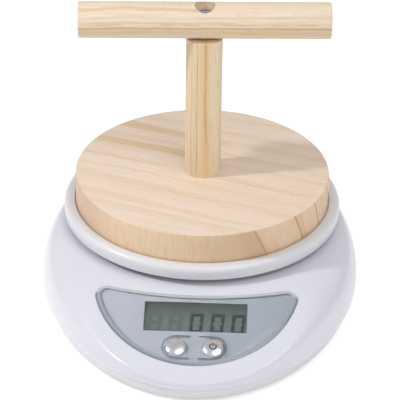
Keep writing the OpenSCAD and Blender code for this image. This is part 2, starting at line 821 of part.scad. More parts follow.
// A cone-shaped coil spring from its plate at x = 0 to the battery's flat end
module cone_spring() {
    coil = [
        for (i = [0 : spring_turns * spring_steps])
            let (
                u = i / (spring_turns * spring_steps),
                radius = spring_base - (spring_base - spring_tip) * u,
                a = 360 * spring_turns * u
            )
            [spring_wire / 2 + (spring_length - spring_wire) * u, radius * cos(a), radius * sin(a)]
    ];
    tube(coil, spring_wire / 2, 6);
}
// The contact for a battery's flat end: a plate with a spring on it
module spring_contact(turn, place) translate([0, place, battery_z]) rotate([0, 0, turn])
    translate([-bay_length / 2, 0, 0]) {
        translate([0, -contact_width / 2, -contact_width / 2])
            cube([contact_thick, contact_width, contact_width]);
        translate([contact_thick - eps, 0, 0]) cone_spring();
    }
// The contact for a battery's terminal: a plate with a raised round pad
module pad_contact(turn, place) translate([0, place, battery_z]) rotate([0, 0, turn])
    translate([bay_length / 2, 0, 0]) {
        translate([-contact_thick, -contact_width / 2, -contact_width / 2])
            cube([contact_thick, contact_width, contact_width]);
        translate([-contact_thick - pad_rise, 0, 0]) rotate([0, 90, 0]) cylinder(r = 2.2, h = pad_rise + eps);
    }
module battery_jumper() color([0.8, 0.8, 0.78]) {
    pad_contact(0, battery_y[0]);
    spring_contact(180, battery_y[1]);
    translate([bay_length / 2 - contact_thick, battery_y[0], battery_z - 2])
        cube([contact_thick, battery_y[1] - battery_y[0], 4]);
}
module battery_contacts() color([0.8, 0.8, 0.78]) {
    spring_contact(0, battery_y[0]);
    pad_contact(180, battery_y[1]);
}

// Cables inside the housing
module gauge_cable() color([0.85, 0.85, 0.82]) tube(route(gauge_route, 5), 1.1, 8);
module battery_wire_red() color([0.75, 0.1, 0.1]) tube(route(red_route, 5), 0.6, 6);
module battery_wire_black() color([0.08, 0.08, 0.08]) tube(route(black_route, 5), 0.6, 6);

module battery_door() color([0.88, 0.88, 0.9]) {
    door_width = bay_length + 2 * bay_ledge - 2 * door_play;
    difference() {
        union() {
            translate([-door_width / 2, hinge_y, foot_clearance])
                cube([door_width, bay_rear + bay_ledge - door_play - hinge_y, floor_thick]);
            translate([0, hinge_y, hinge_z]) rotate([0, 90, 0])
                cylinder(r = hinge_radius, h = door_width, center = true);
            translate([0, hinge_y, hinge_z]) rotate([0, 90, 0])
                cylinder(r = hinge_pin, h = door_width + 2 * hinge_pin_length, center = true);
            translate([-door_latch[0] / 2, bay_rear - 0.5 - door_latch[1], cover_top - eps]) cube(door_latch);
        }
        translate([0, bay_rear - 3, foot_clearance + notch_depth - notch_radius]) rotate([0, 90, 0])
            cylinder(r = notch_radius, h = notch_width, center = true);
    }
}

module housing_screws() color([0.7, 0.7, 0.72]) for (p = screw_places)
    translate([p[0], p[1], housing_ledge]) rotate([180, 0, 0])
        pan_screw(housing_head[0], housing_head[1], housing_shank, post_join - housing_ledge + housing_bite);

module foot(x, y) color([0.15, 0.15, 0.16]) translate([x, y, 0])
    chamfered_disc(foot_radius, 0, foot_clearance + foot_seat, 0.4);
module front_left_foot() foot(-foot_front[0], foot_front[1]);
module front_right_foot() foot(foot_front[0], foot_front[1]);
module rear_left_foot() foot(-foot_rear[0], foot_rear[1]);
module rear_right_foot() foot(foot_rear[0], foot_rear[1]);

// Wooden perch stand

stand_foot = pan_floor_height + rest_play;
board_radius = recess_radius - board_play;
board_top = stand_foot + board_height;
post_top = board_top + post_length;
bar_axis = post_top + bar_diameter / 2;
bar_screw_size = [8.7, 3, 3.9];
bar_screw_length = 32;
bar_seat = bar_axis + 3.6;
bar_sink = 5.6;
bar_screw_forward = 1.3;
board_screw_length = 38;
board_sink = 4.2;

module on_pan() {
    translate([0, pan_setback, 0]) rotate([0, 0, stand_turn]) children();
}

module perch_board() color([0.93, 0.8, 0.62]) on_pan() difference() {
    chamfered_disc(board_radius, stand_foot, board_top, wood_chamfer);
    disc(bar_screw_size[2] / 2 + 0.2, stand_foot - 1, board_top + 1);
    disc(bar_screw_size[0] / 2 + 0.4, stand_foot - 1, stand_foot + board_sink);
}

module perch_post() color([0.91, 0.77, 0.58]) on_pan() difference() {
    disc(post_diameter / 2, board_top, post_top);
    disc(bar_screw_size[2] / 2 + hole_play, board_top - 1, board_top + board_screw_length);
    translate([0, -bar_screw_forward, 0])
        disc(bar_screw_size[2] / 2 + hole_play, post_top - bar_screw_length, post_top + 1);
}

module perch_bar() color([0.93, 0.81, 0.63]) on_pan() difference() {
    translate([0, 0, bar_axis]) rotate([0, 90, 0])
        chamfered_disc(bar_diameter / 2, -bar_length / 2, bar_length / 2, wood_chamfer);
    translate([0, -bar_screw_forward, 0]) {
        disc(bar_screw_size[2] / 2 + 0.2, post_top - 1, bar_axis + bar_diameter);
        disc(bar_sink, bar_seat, bar_axis + bar_diameter);
    }
}

module bar_screw() color([0.8, 0.8, 0.82]) on_pan() translate([0, -bar_screw_forward, bar_seat])
    pan_screw(bar_screw_size[0], bar_screw_size[1], bar_screw_size[2], bar_screw_length);

module board_screw() color([0.7, 0.7, 0.72]) on_pan() translate([0, 0, stand_foot + board_sink])
    rotate([180, 0, 0])
        pan_screw(bar_screw_size[0], bar_screw_size[1], bar_screw_size[2], board_screw_length);

bottom_cover();
top_shell();
front_panel();
panel_print();
lcd_glass();
lcd_frame();
lcd_connectors();
main_board();
controller();
unit_switch();
power_switch();
unit_switch_stem();
power_switch_stem();
unit_button();
power_button();
load_cell();
gauge_covers();
cell_screws();
support_screws();
platform_support();
pan();
battery_front();
battery_rear();
battery_jumper();
battery_contacts();
gauge_cable();
battery_wire_red();
battery_wire_black();
battery_door();
housing_screws();
board_screws();
front_left_foot();
front_right_foot();
rear_left_foot();
rear_right_foot();
perch_board();
perch_post();
perch_bar();
bar_screw();
board_screw();
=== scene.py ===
"""Looks of a bench scale for weighing a bird.

An oval plastic housing with a sloping display panel, a round pan on a load cell, and a wooden
perch stand that rests on the pan. Sizes in the classes are millimetres, meshes are metres, and
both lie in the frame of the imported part: +Z up, the display faces -Y, the table is at z = 0.
"""

import logging
import math
from collections.abc import Callable, Sequence
from dataclasses import dataclass, field
from enum import Enum
from functools import lru_cache

import bmesh
import bpy
from mathutils import Matrix, Vector


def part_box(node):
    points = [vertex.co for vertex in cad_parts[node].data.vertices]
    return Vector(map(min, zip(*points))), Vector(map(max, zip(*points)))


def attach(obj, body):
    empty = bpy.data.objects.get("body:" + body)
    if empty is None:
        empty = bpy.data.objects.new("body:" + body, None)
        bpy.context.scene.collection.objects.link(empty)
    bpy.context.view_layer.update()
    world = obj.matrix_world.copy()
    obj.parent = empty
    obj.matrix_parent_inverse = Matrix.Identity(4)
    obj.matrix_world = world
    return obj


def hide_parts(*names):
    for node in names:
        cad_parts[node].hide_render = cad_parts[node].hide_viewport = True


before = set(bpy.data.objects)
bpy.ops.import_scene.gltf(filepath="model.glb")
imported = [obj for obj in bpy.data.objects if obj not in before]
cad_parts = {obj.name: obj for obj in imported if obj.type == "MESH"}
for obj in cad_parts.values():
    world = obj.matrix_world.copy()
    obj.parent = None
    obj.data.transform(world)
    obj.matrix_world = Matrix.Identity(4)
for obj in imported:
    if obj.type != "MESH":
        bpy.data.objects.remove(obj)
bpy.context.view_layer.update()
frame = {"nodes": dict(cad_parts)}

LOG = logging.getLogger("bench_scale")
MM = 0.001
FULL_TURN = 2 * math.pi
SHARP_ANGLE = math.radians(32)
LAID_DOWN = Matrix.Rotation(math.pi / 2, 4, "Y")
UPSIDE_DOWN = Matrix.Rotation(math.pi, 4, "X")

Socket = bpy.types.NodeSocket
Value = Socket | float
Colour = tuple[float, float, float]
Tint = Socket | Colour
Point2 = tuple[float, float]
Point3 = tuple[float, float, float]


class Cut(Enum):
    """How one workpiece acts on another."""

    CARVE = "DIFFERENCE"
    JOIN = "UNION"
    KEEP_COMMON = "INTERSECT"


class Body(Enum):
    """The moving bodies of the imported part."""

    ROOT = "root"
    PLATFORM = "platform"
    STAND = "stand"
    UNIT_KEY = "unit_key"
    POWER_KEY = "power_key"
    DOOR = "door"


class Reach(Enum):
    """Whether a lamp reaches only the piece that it names, or all but that piece."""

    ONLY = "INCLUDE"
    ALL_BUT = "EXCLUDE"


# Materials


class NodeTree:
    """The empty node tree of a material or a world.

    Args:
        owner: The material or the world.
    """

    def __init__(self, owner: bpy.types.Material | bpy.types.World) -> None:
        """Clears the owner's nodes."""
        owner.use_nodes = True
        self.tree = owner.node_tree
        self.tree.nodes.clear()

    def add(self, kind: str, **settings: object) -> bpy.types.Node:
        """Adds a node and sets its properties.

        Args:
            kind: Blender's name of the node type.
            **settings: Properties of the node.

        Returns:
            The new node.
        """
        node = self.tree.nodes.new(kind)
        for key, value in settings.items():
            setattr(node, key, value)
        return node

    def join(self, source: Socket | float | Sequence[float], target: Socket) -> None:
        """Links a socket to another, or sets a plain value on it.

        Args:
            source: An output socket, or the value itself.
            target: The input socket.
        """
        if isinstance(source, bpy.types.NodeSocket):
            self.tree.links.new(source, target)
        elif isinstance(source, (tuple, list, Vector)) and target.type == "RGBA":
            target.default_value = (*source[:3], 1)
        else:
            target.default_value = source

    def sum(self, kind: str, first: Value, second: Value = 0.0, third: Value = 0.0) -> Socket:
        """One step of arithmetic.

        Args:
            kind: Blender's name of the operation.
            first: First value.
            second: Second value, where the operation has one.
            third: Third value, where the operation has one.

        Returns:
            The result.
        """
        node = self.add("ShaderNodeMath", operation=kind)
        for value, target in zip((first, second, third), node.inputs):
            self.join(value, target)
        return node.outputs[0]

    def product(self, first: Value, second: Value) -> Socket:
        """The product of two values."""
        return self.sum("MULTIPLY", first, second)

    def drift(self, value: Socket, reach: float, base: Value) -> Socket:
        """A base value that drifts with another one by a given reach."""
        return self.sum("MULTIPLY_ADD", value, reach, base)

    def choose(self, share: Value, first: Socket, second: Socket) -> Socket:
        """A shader made of two by a share of the second.

        Args:
            share: Share of the second shader.
            first: First shader.
            second: Second shader.

        Returns:
            The mixed shader.
        """
        node = self.add("ShaderNodeMixShader")
        for value, target in zip((share, first, second), node.inputs):
            self.join(value, target)
        return node.outputs[0]


class Graph(NodeTree):
    """A node material under construction, with one Principled shader.

    Args:
        name: Name of the material.
    """

    def __init__(self, name: str) -> None:
        """Makes the material with its shader and its output."""
        self.material = bpy.data.materials.new(name)
        super().__init__(self.material)
        self.output = self.add("ShaderNodeOutputMaterial")
        self.shader = self.add("ShaderNodeBsdfPrincipled")
        self.show(self.shader.outputs["BSDF"])

    def show(self, surface: Socket) -> None:
        """Makes a shader the material's surface."""
        self.join(surface, self.output.inputs["Surface"])

    def place(
        self, centre: Point3 = (0, 0, 0), turn: Point3 = (0, 0, 0), unit: float = 1
    ) -> Socket:
        """Object coordinates seen from a place on the piece.

        Args:
            centre: Origin of the new coordinates, in millimetres.
            turn: Turn of the new axes about X, Y and Z, in degrees.
            unit: Size of one unit of the new coordinates, in metres.

        Returns:
            The coordinates as a vector socket.
        """
        source = self.add("ShaderNodeTexCoord").outputs["Object"]
        node = self.add("ShaderNodeMapping", vector_type="TEXTURE")
        self.join(source, node.inputs["Vector"])
        self.join(Vector(centre) * MM, node.inputs["Location"])
        self.join([math.radians(a) for a in turn], node.inputs["Rotation"])
        self.join((unit, unit, unit), node.inputs["Scale"])
        return node.outputs["Vector"]

    def stretch(self, vector: Socket, scale: Point3, shift: Point3 = (0, 0, 0)) -> Socket:
        """Coordinates scaled and shifted, for patterns that run along the grain.

        Args:
            vector: The coordinates.
            scale: Factor along each axis.
            shift: Shift after the scaling.

        Returns:
            The new coordinates.
        """
        node = self.add("ShaderNodeMapping", vector_type="POINT")
        self.join(vector, node.inputs["Vector"])
        self.join(list(scale), node.inputs["Scale"])
        self.join(list(shift), node.inputs["Location"])
        return node.outputs["Vector"]

    def texture(
        self, kind: str, vector: Socket, scale: float, **settings: object
    ) -> bpy.types.Node:
        """A texture on given coordinates.

        Args:
            kind: The end of Blender's name of the node type.
            vector: The coordinates.
            scale: Waves or cells per unit of the coordinates.
            **settings: Properties of the node.

        Returns:
            The texture's node.
        """
        node = self.add(f"ShaderNodeTex{kind}", **settings)
        self.join(vector, node.inputs["Vector"])
        self.join(scale, node.inputs["Scale"])
        return node

    def noise(
        self, vector: Socket, scale: float, detail: float = 2, roughness: float = 0.5
    ) -> Socket:
        """Soft noise from 0 to 1.

        Args:
            vector: The coordinates.
            scale: Waves per unit of the coordinates.
            detail: Octaves.
            roughness: Share of the finer octaves.

        Returns:
            The noise as a value socket.
        """
        node = self.texture("Noise", vector, scale)
        self.join(detail, node.inputs["Detail"])
        self.join(roughness, node.inputs["Roughness"])
        return node.outputs["Fac"]

    def within(self, value: Socket, low: float, high: float, soft: float) -> Socket:
        """A window that is 1 between two values and falls softly to 0 outside them.

        Args:
            value: The value tested.
            low: Lower edge.
            high: Upper edge.
            soft: Width of each soft edge.

        Returns:
            The window's value.
        """
        rise = self.fade(value, low - soft, low)
        fall = self.fade(value, high + soft, high)
        return self.product(rise, fall)

    def fade(self, value: Socket, start: float, end: float) -> Socket:
        """A smooth step from 0 at start to 1 at end.

        Args:
            value: The value tested.
            start: Where the step begins.
            end: Where the step ends, on either side of start.

        Returns:
            The step's value.
        """
        node = self.add("ShaderNodeMapRange", interpolation_type="SMOOTHSTEP")
        self.join(value, node.inputs["Value"])
        backward = end < start
        self.join(min(start, end), node.inputs["From Min"])
        self.join(max(start, end), node.inputs["From Max"])
        self.join(1.0 if backward else 0.0, node.inputs["To Min"])
        self.join(0.0 if backward else 1.0, node.inputs["To Max"])
        return node.outputs["Result"]

    def blend(self, share: Value, first: Tint, second: Tint, kind: str = "MIX") -> Socket:
        """Two colours mixed.

        Args:
            share: Share of the second colour.
            first: First colour.
            second: Second colour.
            kind: Blender's name of the mix.

        Returns:
            The mixed colour.
        """
        node = self.add("ShaderNodeMix", data_type="RGBA", blend_type=kind)
        self.join(share, node.inputs[0])
        self.join(first, node.inputs[6])
        self.join(second, node.inputs[7])
        return node.outputs[2]

    def split(self, vector: Socket) -> tuple[Socket, Socket, Socket]:
        """Takes a vector apart.

        Args:
            vector: The vector.

        Returns:
            Its three parts.
        """
        node = self.add("ShaderNodeSeparateXYZ")
        self.join(vector, node.inputs[0])
        return tuple(node.outputs)

    def normal(self) -> Socket:
        """The direction that the surface faces."""
        return self.add("ShaderNodeTexCoord").outputs["Normal"]

    def bump(self, height: Socket, depth: float) -> None:
        """Gives the shader fine relief.

        Args:
            height: Height, where 1 stands for the full depth.
            depth: Full depth of the relief, in millimetres.
        """
        node = self.add("ShaderNodeBump")
        self.join(1.0, node.inputs["Strength"])
        self.join(depth * MM, node.inputs["Distance"])
        self.join(height, node.inputs["Height"])
        self.join(node.outputs["Normal"], self.shader.inputs["Normal"])

    def set(self, **values: object) -> None:
        """Sets inputs of the shader, with spaces in their names written as underscores."""
        for key, value in values.items():
            self.join(value, self.shader.inputs[key.replace("_", " ")])


@dataclass(frozen=True)
class Finish:
    """A finish that dresses a surface. The record's material slot is named once for each.

    Attributes:
        name: Name of the material.
        slot: The record's material slot that the finish stands for. It is not used here.
    """

    name: str
    slot: str

    def paint(self, graph: Graph) -> None:
        """Paints the finish. Each kind of finish has its own way."""
        raise NotImplementedError

    @lru_cache(maxsize=None)
    def material(self) -> bpy.types.Material:
        """The finish's material, made on first use.

        Returns:
            The material.
        """
        graph = Graph(f"{self.name}_look")
        self.paint(graph)
        return graph.material


@dataclass(frozen=True)
class Plastic(Finish):
    """Moulded plastic with a fine skin, slight mottling and uneven gloss.

    Attributes:
        colour: Base colour.
        roughness: Mean roughness.
        gloss_drift: How far the roughness drifts over the surface.
        skin_size: Size of the skin's grain, in millimetres.
        skin_depth: Depth of the skin's grain, in millimetres.
        mottle: Share by which the colour drifts.
        coat: Weight of a clear, smooth surface layer.
        shine: Strength of the surface reflection.
    """

    BLOTCHES = 28
    COAT_ROUGHNESS = 0.06

    colour: Colour
    roughness: float = 0.3
    gloss_drift: float = 0.06
    skin_size: float = 0.8
    skin_depth: float = 0.004
    mottle: float = 0.03
    coat: float = 0.0
    shine: float = 0.5

    def paint(self, graph: Graph) -> None:
        """Paints a slightly uneven plastic.

        Args:
            graph: The material under construction.
        """
        at = graph.place()
        broad = graph.noise(at, self.BLOTCHES, 3)
        fine = graph.noise(at, 1 / (self.skin_size * MM), 2)
        darker = tuple(c * (1 - self.mottle) for c in self.colour)
        lighter = tuple(min(1.0, c * (1 + self.mottle)) for c in self.colour)
        smoothest = self.roughness - self.gloss_drift / 2
        graph.set(
            Base_Color=graph.blend(broad, darker, lighter),
            Roughness=graph.drift(broad, self.gloss_drift, smoothest),
            Specular_IOR_Level=self.shine,
            Coat_Weight=self.coat,
            Coat_Roughness=self.COAT_ROUGHNESS,
        )
        graph.bump(fine, self.skin_depth)


@dataclass(frozen=True)
class Metal(Finish):
    """Metal with a drawn or plated surface.

    Attributes:
        colour: Colour of the reflection.
        roughness: Mean roughness.
        brushed: Factors along the axes that stretch the fine marks.
        mark_depth: Depth of the fine marks, in millimetres.
        stain: Colour of faint blotches.
        stain_share: Strength of the blotches.
    """

    MARKS = 1800
    BLOTCHES = 160
    GLOSS_DRIFT = 0.12

    colour: Colour
    roughness: float = 0.3
    brushed: Point3 = (1, 1, 1)
    mark_depth: float = 0.002
    stain: Colour = (0.4, 0.4, 0.42)
    stain_share: float = 0.15

    def paint(self, graph: Graph) -> None:
        """Paints the metal with marks and faint blotches.

        Args:
            graph: The material under construction.
        """
        at = graph.place()
        marks = graph.noise(graph.stretch(at, self.brushed), self.MARKS, 3)
        blotch = graph.noise(at, self.BLOTCHES, 3)
        share = graph.product(graph.fade(blotch, 0.45, 0.8), self.stain_share)
        graph.set(
            Base_Color=graph.blend(share, self.colour, self.stain),
            Metallic=1.0,
            Roughness=graph.drift(marks, self.GLOSS_DRIFT, self.roughness - self.GLOSS_DRIFT / 2),
        )
        graph.bump(marks, self.mark_depth)


@dataclass(frozen=True)
class Streak:
    """A band of darker or paler wood.

    Attributes:
        across: Its place across the grain, in millimetres.
        half: Half its width, in millimetres.
        soft: Width of each soft edge, in millimetres.
        colour: Its colour.
        strength: How strongly it shows.
        start: Where it starts along the grain, in millimetres.
        end: Where it ends along the grain, in millimetres.
        fade: Length over which it starts and ends, in millimetres.
    """

    across: float
    half: float
    soft: float
    colour: Colour
    strength: float
    start: float = -400.0
    end: float = 400.0
    fade: float = 12.0


@dataclass(frozen=True)
class Wood(Finish):
    """Sanded pine, as a solid pattern of growth rings, fibres and flecks.

    The pattern's own X runs along the grain, and its rings lie round an axis along X.

    Attributes:
        centre: Middle of the piece, in millimetres.
        turn: Turn of the grain about X, Y and Z, in degrees.
        heart: Place of the tree's heart across the grain, in millimetres.
        ring: Distance between growth rings, in millimetres.
        pale: Colour of the early wood.
        pale_drift: Colour that the early wood drifts to.
        late: Colour of the late wood.
        late_share: How strongly the late wood shows.
        end_grain: Colour of cut ends.
        streaks: Bands that stand out.
        end_streaks: Bands that stand out on cut ends.
        lean: How far a streak leans across for each millimetre of depth.
        seed: Shift of the noise, so that no two pieces are alike.
        flank: Tint of the upright surfaces.
        flank_share: Strength of that tint.
    """

    FIBRE_SHADE = (0.9, 0.86, 0.8)
    FLECK = (0.42, 0.26, 0.13)
    CUT_SHADE = (0.88, 0.74, 0.62)
    PORE_SHADE = (0.9, 0.85, 0.78)
    LANE_SWAY, LANE_FRAY = 5.0, 0.9
    RING_SWAY, RING_FRAY = 9.0, 1.1
    RING_UNEVEN = 1.6

    centre: Point3
    turn: Point3
    heart: Point2
    ring: float
    pale: Colour
    pale_drift: Colour
    late: Colour
    late_share: float
    end_grain: Colour
    streaks: tuple[Streak, ...] = ()
    end_streaks: tuple[Streak, ...] = ()
    lean: float = 0.0
    seed: float = 0.0
    flank: Colour = (0.8, 0.6, 0.4)
    flank_share: float = 0.0

    def paint(self, graph: Graph) -> None:
        """Paints rings, streaks, fibres, flecks and end grain.

        Args:
            graph: The material under construction.
        """
        at = graph.place(self.centre, self.turn, MM)
        shift = (self.seed, self.seed * 0.7, self.seed * 1.3)
        along, across, depth = graph.split(at)
        sway = graph.noise(graph.stretch(at, (0.012, 0.03, 0.03), shift), 1, 2)
        sway = graph.sum("SUBTRACT", sway, 0.5)
        fray = graph.noise(graph.stretch(at, (0.06, 0.5, 0.5), shift), 1, 3)
        fray = graph.sum("SUBTRACT", fray, 0.5)

        ring_share = self.rings(graph, across, depth, sway, fray)
        tone = graph.noise(graph.stretch(at, (0.012, 0.06, 0.06), shift), 1, 2)
        colour = graph.blend(graph.fade(tone, 0.3, 0.7), self.pale, self.pale_drift)
        colour = graph.blend(graph.product(ring_share, self.late_share), colour, self.late)
        lane = graph.drift(depth, self.lean, across)
        lane = graph.drift(sway, self.LANE_SWAY, lane)
        lane = graph.drift(fray, self.LANE_FRAY, lane)
        for streak in self.streaks:
            colour = self.lay_streak(graph, streak, along, lane, colour)

        fibre = graph.noise(graph.stretch(at, (0.05, 2.6, 2.6), shift), 1, 3, 0.6)
        colour = graph.blend(graph.fade(fibre, 0.3, 0.75), colour, self.FIBRE_SHADE, "MULTIPLY")
        fleck = graph.noise(graph.stretch(at, (0.22, 2.0, 2.0), (9 + self.seed, 4, 2)), 1, 1)
        colour = graph.blend(graph.product(graph.fade(fleck, 0.67, 0.73), 0.4), colour, self.FLECK)
        colour = self.tint_flank(graph, colour, at)
        colour = self.lay_end_grain(graph, colour, along, lane, across, depth)
        graph.set(
            Base_Color=colour, Roughness=graph.drift(fibre, 0.12, 0.5), Specular_IOR_Level=0.35
        )
        graph.bump(fibre, 0.03)

    def tint_flank(self, graph: Graph, under: Socket, at: Socket) -> Socket:
        """Tints the upright surfaces and marks them with fine upright cuts.

        Args:
            graph: The node graph.
            under: The colour so far.
            at: Coordinates along and across the grain, in millimetres.

        Returns:
            The new colour.
        """
        _, _, upward = graph.split(graph.normal())
        upright = graph.fade(graph.sum("ABSOLUTE", upward), 0.6, 0.3)
        upright = graph.product(upright, self.flank_share)
        cuts = graph.noise(graph.stretch(at, (1.1, 1.1, 0.1), (self.seed, 0, 0)), 1, 3)
        cuts = graph.product(upright, graph.fade(cuts, 0.45, 0.7))
        tinted = graph.blend(upright, under, self.flank)
        return graph.blend(cuts, tinted, self.CUT_SHADE, "MULTIPLY")

    def rings(
        self, graph: Graph, across: Socket, depth: Socket, sway: Socket, fray: Socket
    ) -> Socket:
        """The share of late wood from the distance to the tree's heart.

        Args:
            graph: The node graph.
            across: Place across the grain, in millimetres.
            depth: The other place across the grain, in millimetres.
            sway: Slow noise along the grain.
            fray: Finer noise along the grain.

        Returns:
            The share, from 0 to 1.
        """
        side = graph.sum("SUBTRACT", across, self.heart[0])
        rise = graph.sum("SUBTRACT", depth, self.heart[1])
        squares = graph.sum("ADD", graph.product(side, side), graph.product(rise, rise))
        reach = graph.sum("SQRT", squares)
        reach = graph.drift(sway, self.RING_SWAY, reach)
        reach = graph.drift(fray, self.RING_FRAY, reach)
        count = graph.sum("DIVIDE", reach, self.ring)
        unequal = graph.add("ShaderNodeTexNoise", noise_dimensions="1D")
        graph.join(graph.drift(count, 0.45, self.seed), unequal.inputs["W"])
        graph.join(1.0, unequal.inputs["Scale"])
        count = graph.drift(unequal.outputs["Fac"], self.RING_UNEVEN, count)
        phase = graph.sum("FRACT", count)
        slow = graph.fade(phase, 0.25, 0.86)
        quick = graph.fade(phase, 1.0, 0.9)
        return graph.product(graph.sum("POWER", slow, 1.7), quick)

    def lay_streak(
        self, graph: Graph, streak: Streak, along: Socket, lane: Socket, under: Socket
    ) -> Socket:
        """Lays one streak over the colour.

        Args:
            graph: The node graph.
            streak: The streak.
            along: Place along the grain, in millimetres.
            lane: Place across the grain, in millimetres, with its sway.
            under: The colour below.

        Returns:
            The new colour.
        """
        low, high = streak.across - streak.half, streak.across + streak.half
        wide = graph.within(lane, low, high, streak.soft)
        long = graph.within(along, streak.start, streak.end, streak.fade)
        share = graph.product(graph.product(wide, long), streak.strength)
        return graph.blend(share, under, streak.colour)

    def lay_end_grain(
        self,
        graph: Graph,
        under: Socket,
        along: Socket,
        lane: Socket,
        across: Socket,
        depth: Socket,
    ) -> Socket:
        """Darkens the surfaces that cut across the grain.

        Args:
            graph: The node graph.
            under: The colour so far.
            along: Place along the grain, in millimetres.
            lane: Place across the grain, in millimetres, with its sway.
            across: Place across the grain, in millimetres.
            depth: The other place across the grain, in millimetres.

        Returns:
            The new colour.
        """
        direction = Vector((1, 0, 0))
        for axis, angle in zip("XYZ", self.turn):
            direction = Matrix.Rotation(math.radians(angle), 3, axis) @ direction
        facing = graph.add("ShaderNodeVectorMath", operation="DOT_PRODUCT")
        graph.join(graph.normal(), facing.inputs[0])
        graph.join(direction, facing.inputs[1])
        share = graph.fade(graph.sum("ABSOLUTE", facing.outputs["Value"]), 0.12, 0.75)
        spot = graph.add("ShaderNodeCombineXYZ")
        graph.join(across, spot.inputs[0])
        graph.join(depth, spot.inputs[1])
        pores = graph.fade(graph.noise(spot.outputs[0], 3.0), 0.4, 0.7)
        porous = graph.blend(pores, under, self.PORE_SHADE, "MULTIPLY")
        tinted = graph.blend(0.4, porous, self.end_grain)
        for streak in self.end_streaks:
            tinted = self.lay_streak(graph, streak, along, lane, tinted)
        return graph.blend(share, under, tinted)


@dataclass(frozen=True)
class ClearPlastic(Finish):
    """Clear moulded plastic that lamps shine through.

    Attributes:
        tint: Colour that the light takes in passing.
        cloud: Share by which faint flow marks dim the tint.
    """

    IOR = 1.3

    tint: Colour
    cloud: float = 0.02

    def paint(self, graph: Graph) -> None:
        """Paints glass-clear plastic, and lets the rays of lamps pass.

        Args:
            graph: The material under construction.
        """
        flow = graph.noise(graph.place(), 60, 3)
        dimmed = tuple(c * (1 - self.cloud) for c in self.tint)
        graph.set(
            Base_Color=graph.blend(flow, dimmed, self.tint),
            Transmission_Weight=1.0,
            IOR=self.IOR,
            Roughness=0.0,
        )
        passing = graph.add("ShaderNodeBsdfTransparent")
        graph.join(tuple(0.5 + 0.5 * c for c in self.tint), passing.inputs["Color"])
        shadow = graph.add("ShaderNodeLightPath").outputs["Is Shadow Ray"]
        graph.show(graph.choose(shadow, graph.shader.outputs["BSDF"], passing.outputs[0]))


@dataclass(frozen=True)
class SilverFilm(Finish):
    """Silver ink printed on the back of the clear panel, with a faint sparkle.

    Attributes:
        left: Colour on the left.
        right: Colour on the right, darker with painted shade.
        half_width: Half the panel's width, in millimetres.
    """

    FLAKE = (0.75, 0.77, 0.85)

    left: Colour
    right: Colour
    half_width: float

    def paint(self, graph: Graph) -> None:
        """Paints the ink from one colour to the other, with painted shade towards the right, and
        fine metal flakes.

        Args:
            graph: The material under construction.
        """
        at = graph.place(unit=MM)
        aside, _, _ = graph.split(at)
        # Painted shade: the print darkens from left to right.
        painted_shade = graph.fade(aside, -self.half_width, self.half_width)
        base = graph.blend(painted_shade, self.left, self.right)
        flake = graph.texture("Voronoi", at, 7.0).outputs["Color"]
        share = graph.product(graph.fade(flake, 0.4, 0.9), 0.12)
        graph.set(
            Base_Color=graph.blend(share, base, self.FLAKE),
            Metallic=0.15,
            Roughness=graph.drift(share, 0.8, 0.36),
        )


@dataclass(frozen=True)
class DisplayGlass(Finish):
    """Grey green glass of a segment display over its reflector.

    Attributes:
        colour: Mean colour.
        top: Place of its upper edge on the sloping front, in millimetres.
        low: Place of its lower edge on the sloping front, in millimetres.
    """

    LIP_HIGHLIGHT = (0.45, 0.47, 0.46)
    GRAIN = (0.3, 0.32, 0.3)
    TOP_SHADOW_DEPTH = 0.45

    colour: Colour
    top: float
    low: float

    def paint(self, graph: Graph) -> None:
        """Paints a satin reflector with a painted shadow towards the top and a painted highlight
        along the lower edge.

        Args:
            graph: The material under construction.
        """
        at = graph.place(unit=MM)
        _, back, _ = graph.split(at)
        # Painted shadow of the window's edge, strongest at the top of the glass.
        shade = graph.fade(back, self.low + 0.4 * (self.top - self.low), self.top - 1)
        shadowed_colour = tuple(c * self.TOP_SHADOW_DEPTH for c in self.colour)
        grain = graph.noise(at, 6, 2)
        base = graph.blend(shade, self.colour, shadowed_colour)
        # Painted highlight along the glass's lower edge under the window, as on a lit bevel.
        lip_highlight = graph.product(graph.fade(back, self.low + 0.5, self.low + 0.25), 0.5)
        base = graph.blend(lip_highlight, base, self.LIP_HIGHLIGHT)
        graph.set(
            Base_Color=graph.blend(graph.product(grain, 0.05), base, self.GRAIN),
            Roughness=graph.drift(grain, 0.1, 0.38),
            Specular_IOR_Level=0.15,
        )


@dataclass(frozen=True)
class Rubber(Finish):
    """Soft rubber with a fine, dull grain.

    Attributes:
        colour: Base colour.
        stripe: Distance between conducting stripes along X, in millimetres, or 0 for none.
        stripe_colour: Colour of the stripes.
    """

    colour: Colour
    stripe: float = 0.0
    stripe_colour: Colour = (0.05, 0.05, 0.05)

    def paint(self, graph: Graph) -> None:
        """Paints dull rubber, striped where it carries contacts.

        Args:
            graph: The material under construction.
        """
        at = graph.place(unit=MM)
        grain = graph.noise(at, 4, 3)
        worn = tuple(min(1.0, c * 1.5 + 0.02) for c in self.colour)
        colour = graph.blend(graph.fade(grain, 0.4, 0.8), self.colour, worn)
        if self.stripe > 0:
            aside, _, _ = graph.split(at)
            phase = graph.sum("FRACT", graph.sum("DIVIDE", aside, self.stripe))
            colour = graph.blend(graph.within(phase, 0.3, 0.7, 0.08), colour, self.stripe_colour)
        graph.set(Base_Color=colour, Roughness=graph.drift(grain, 0.15, 0.7))
        graph.bump(grain, 0.02)


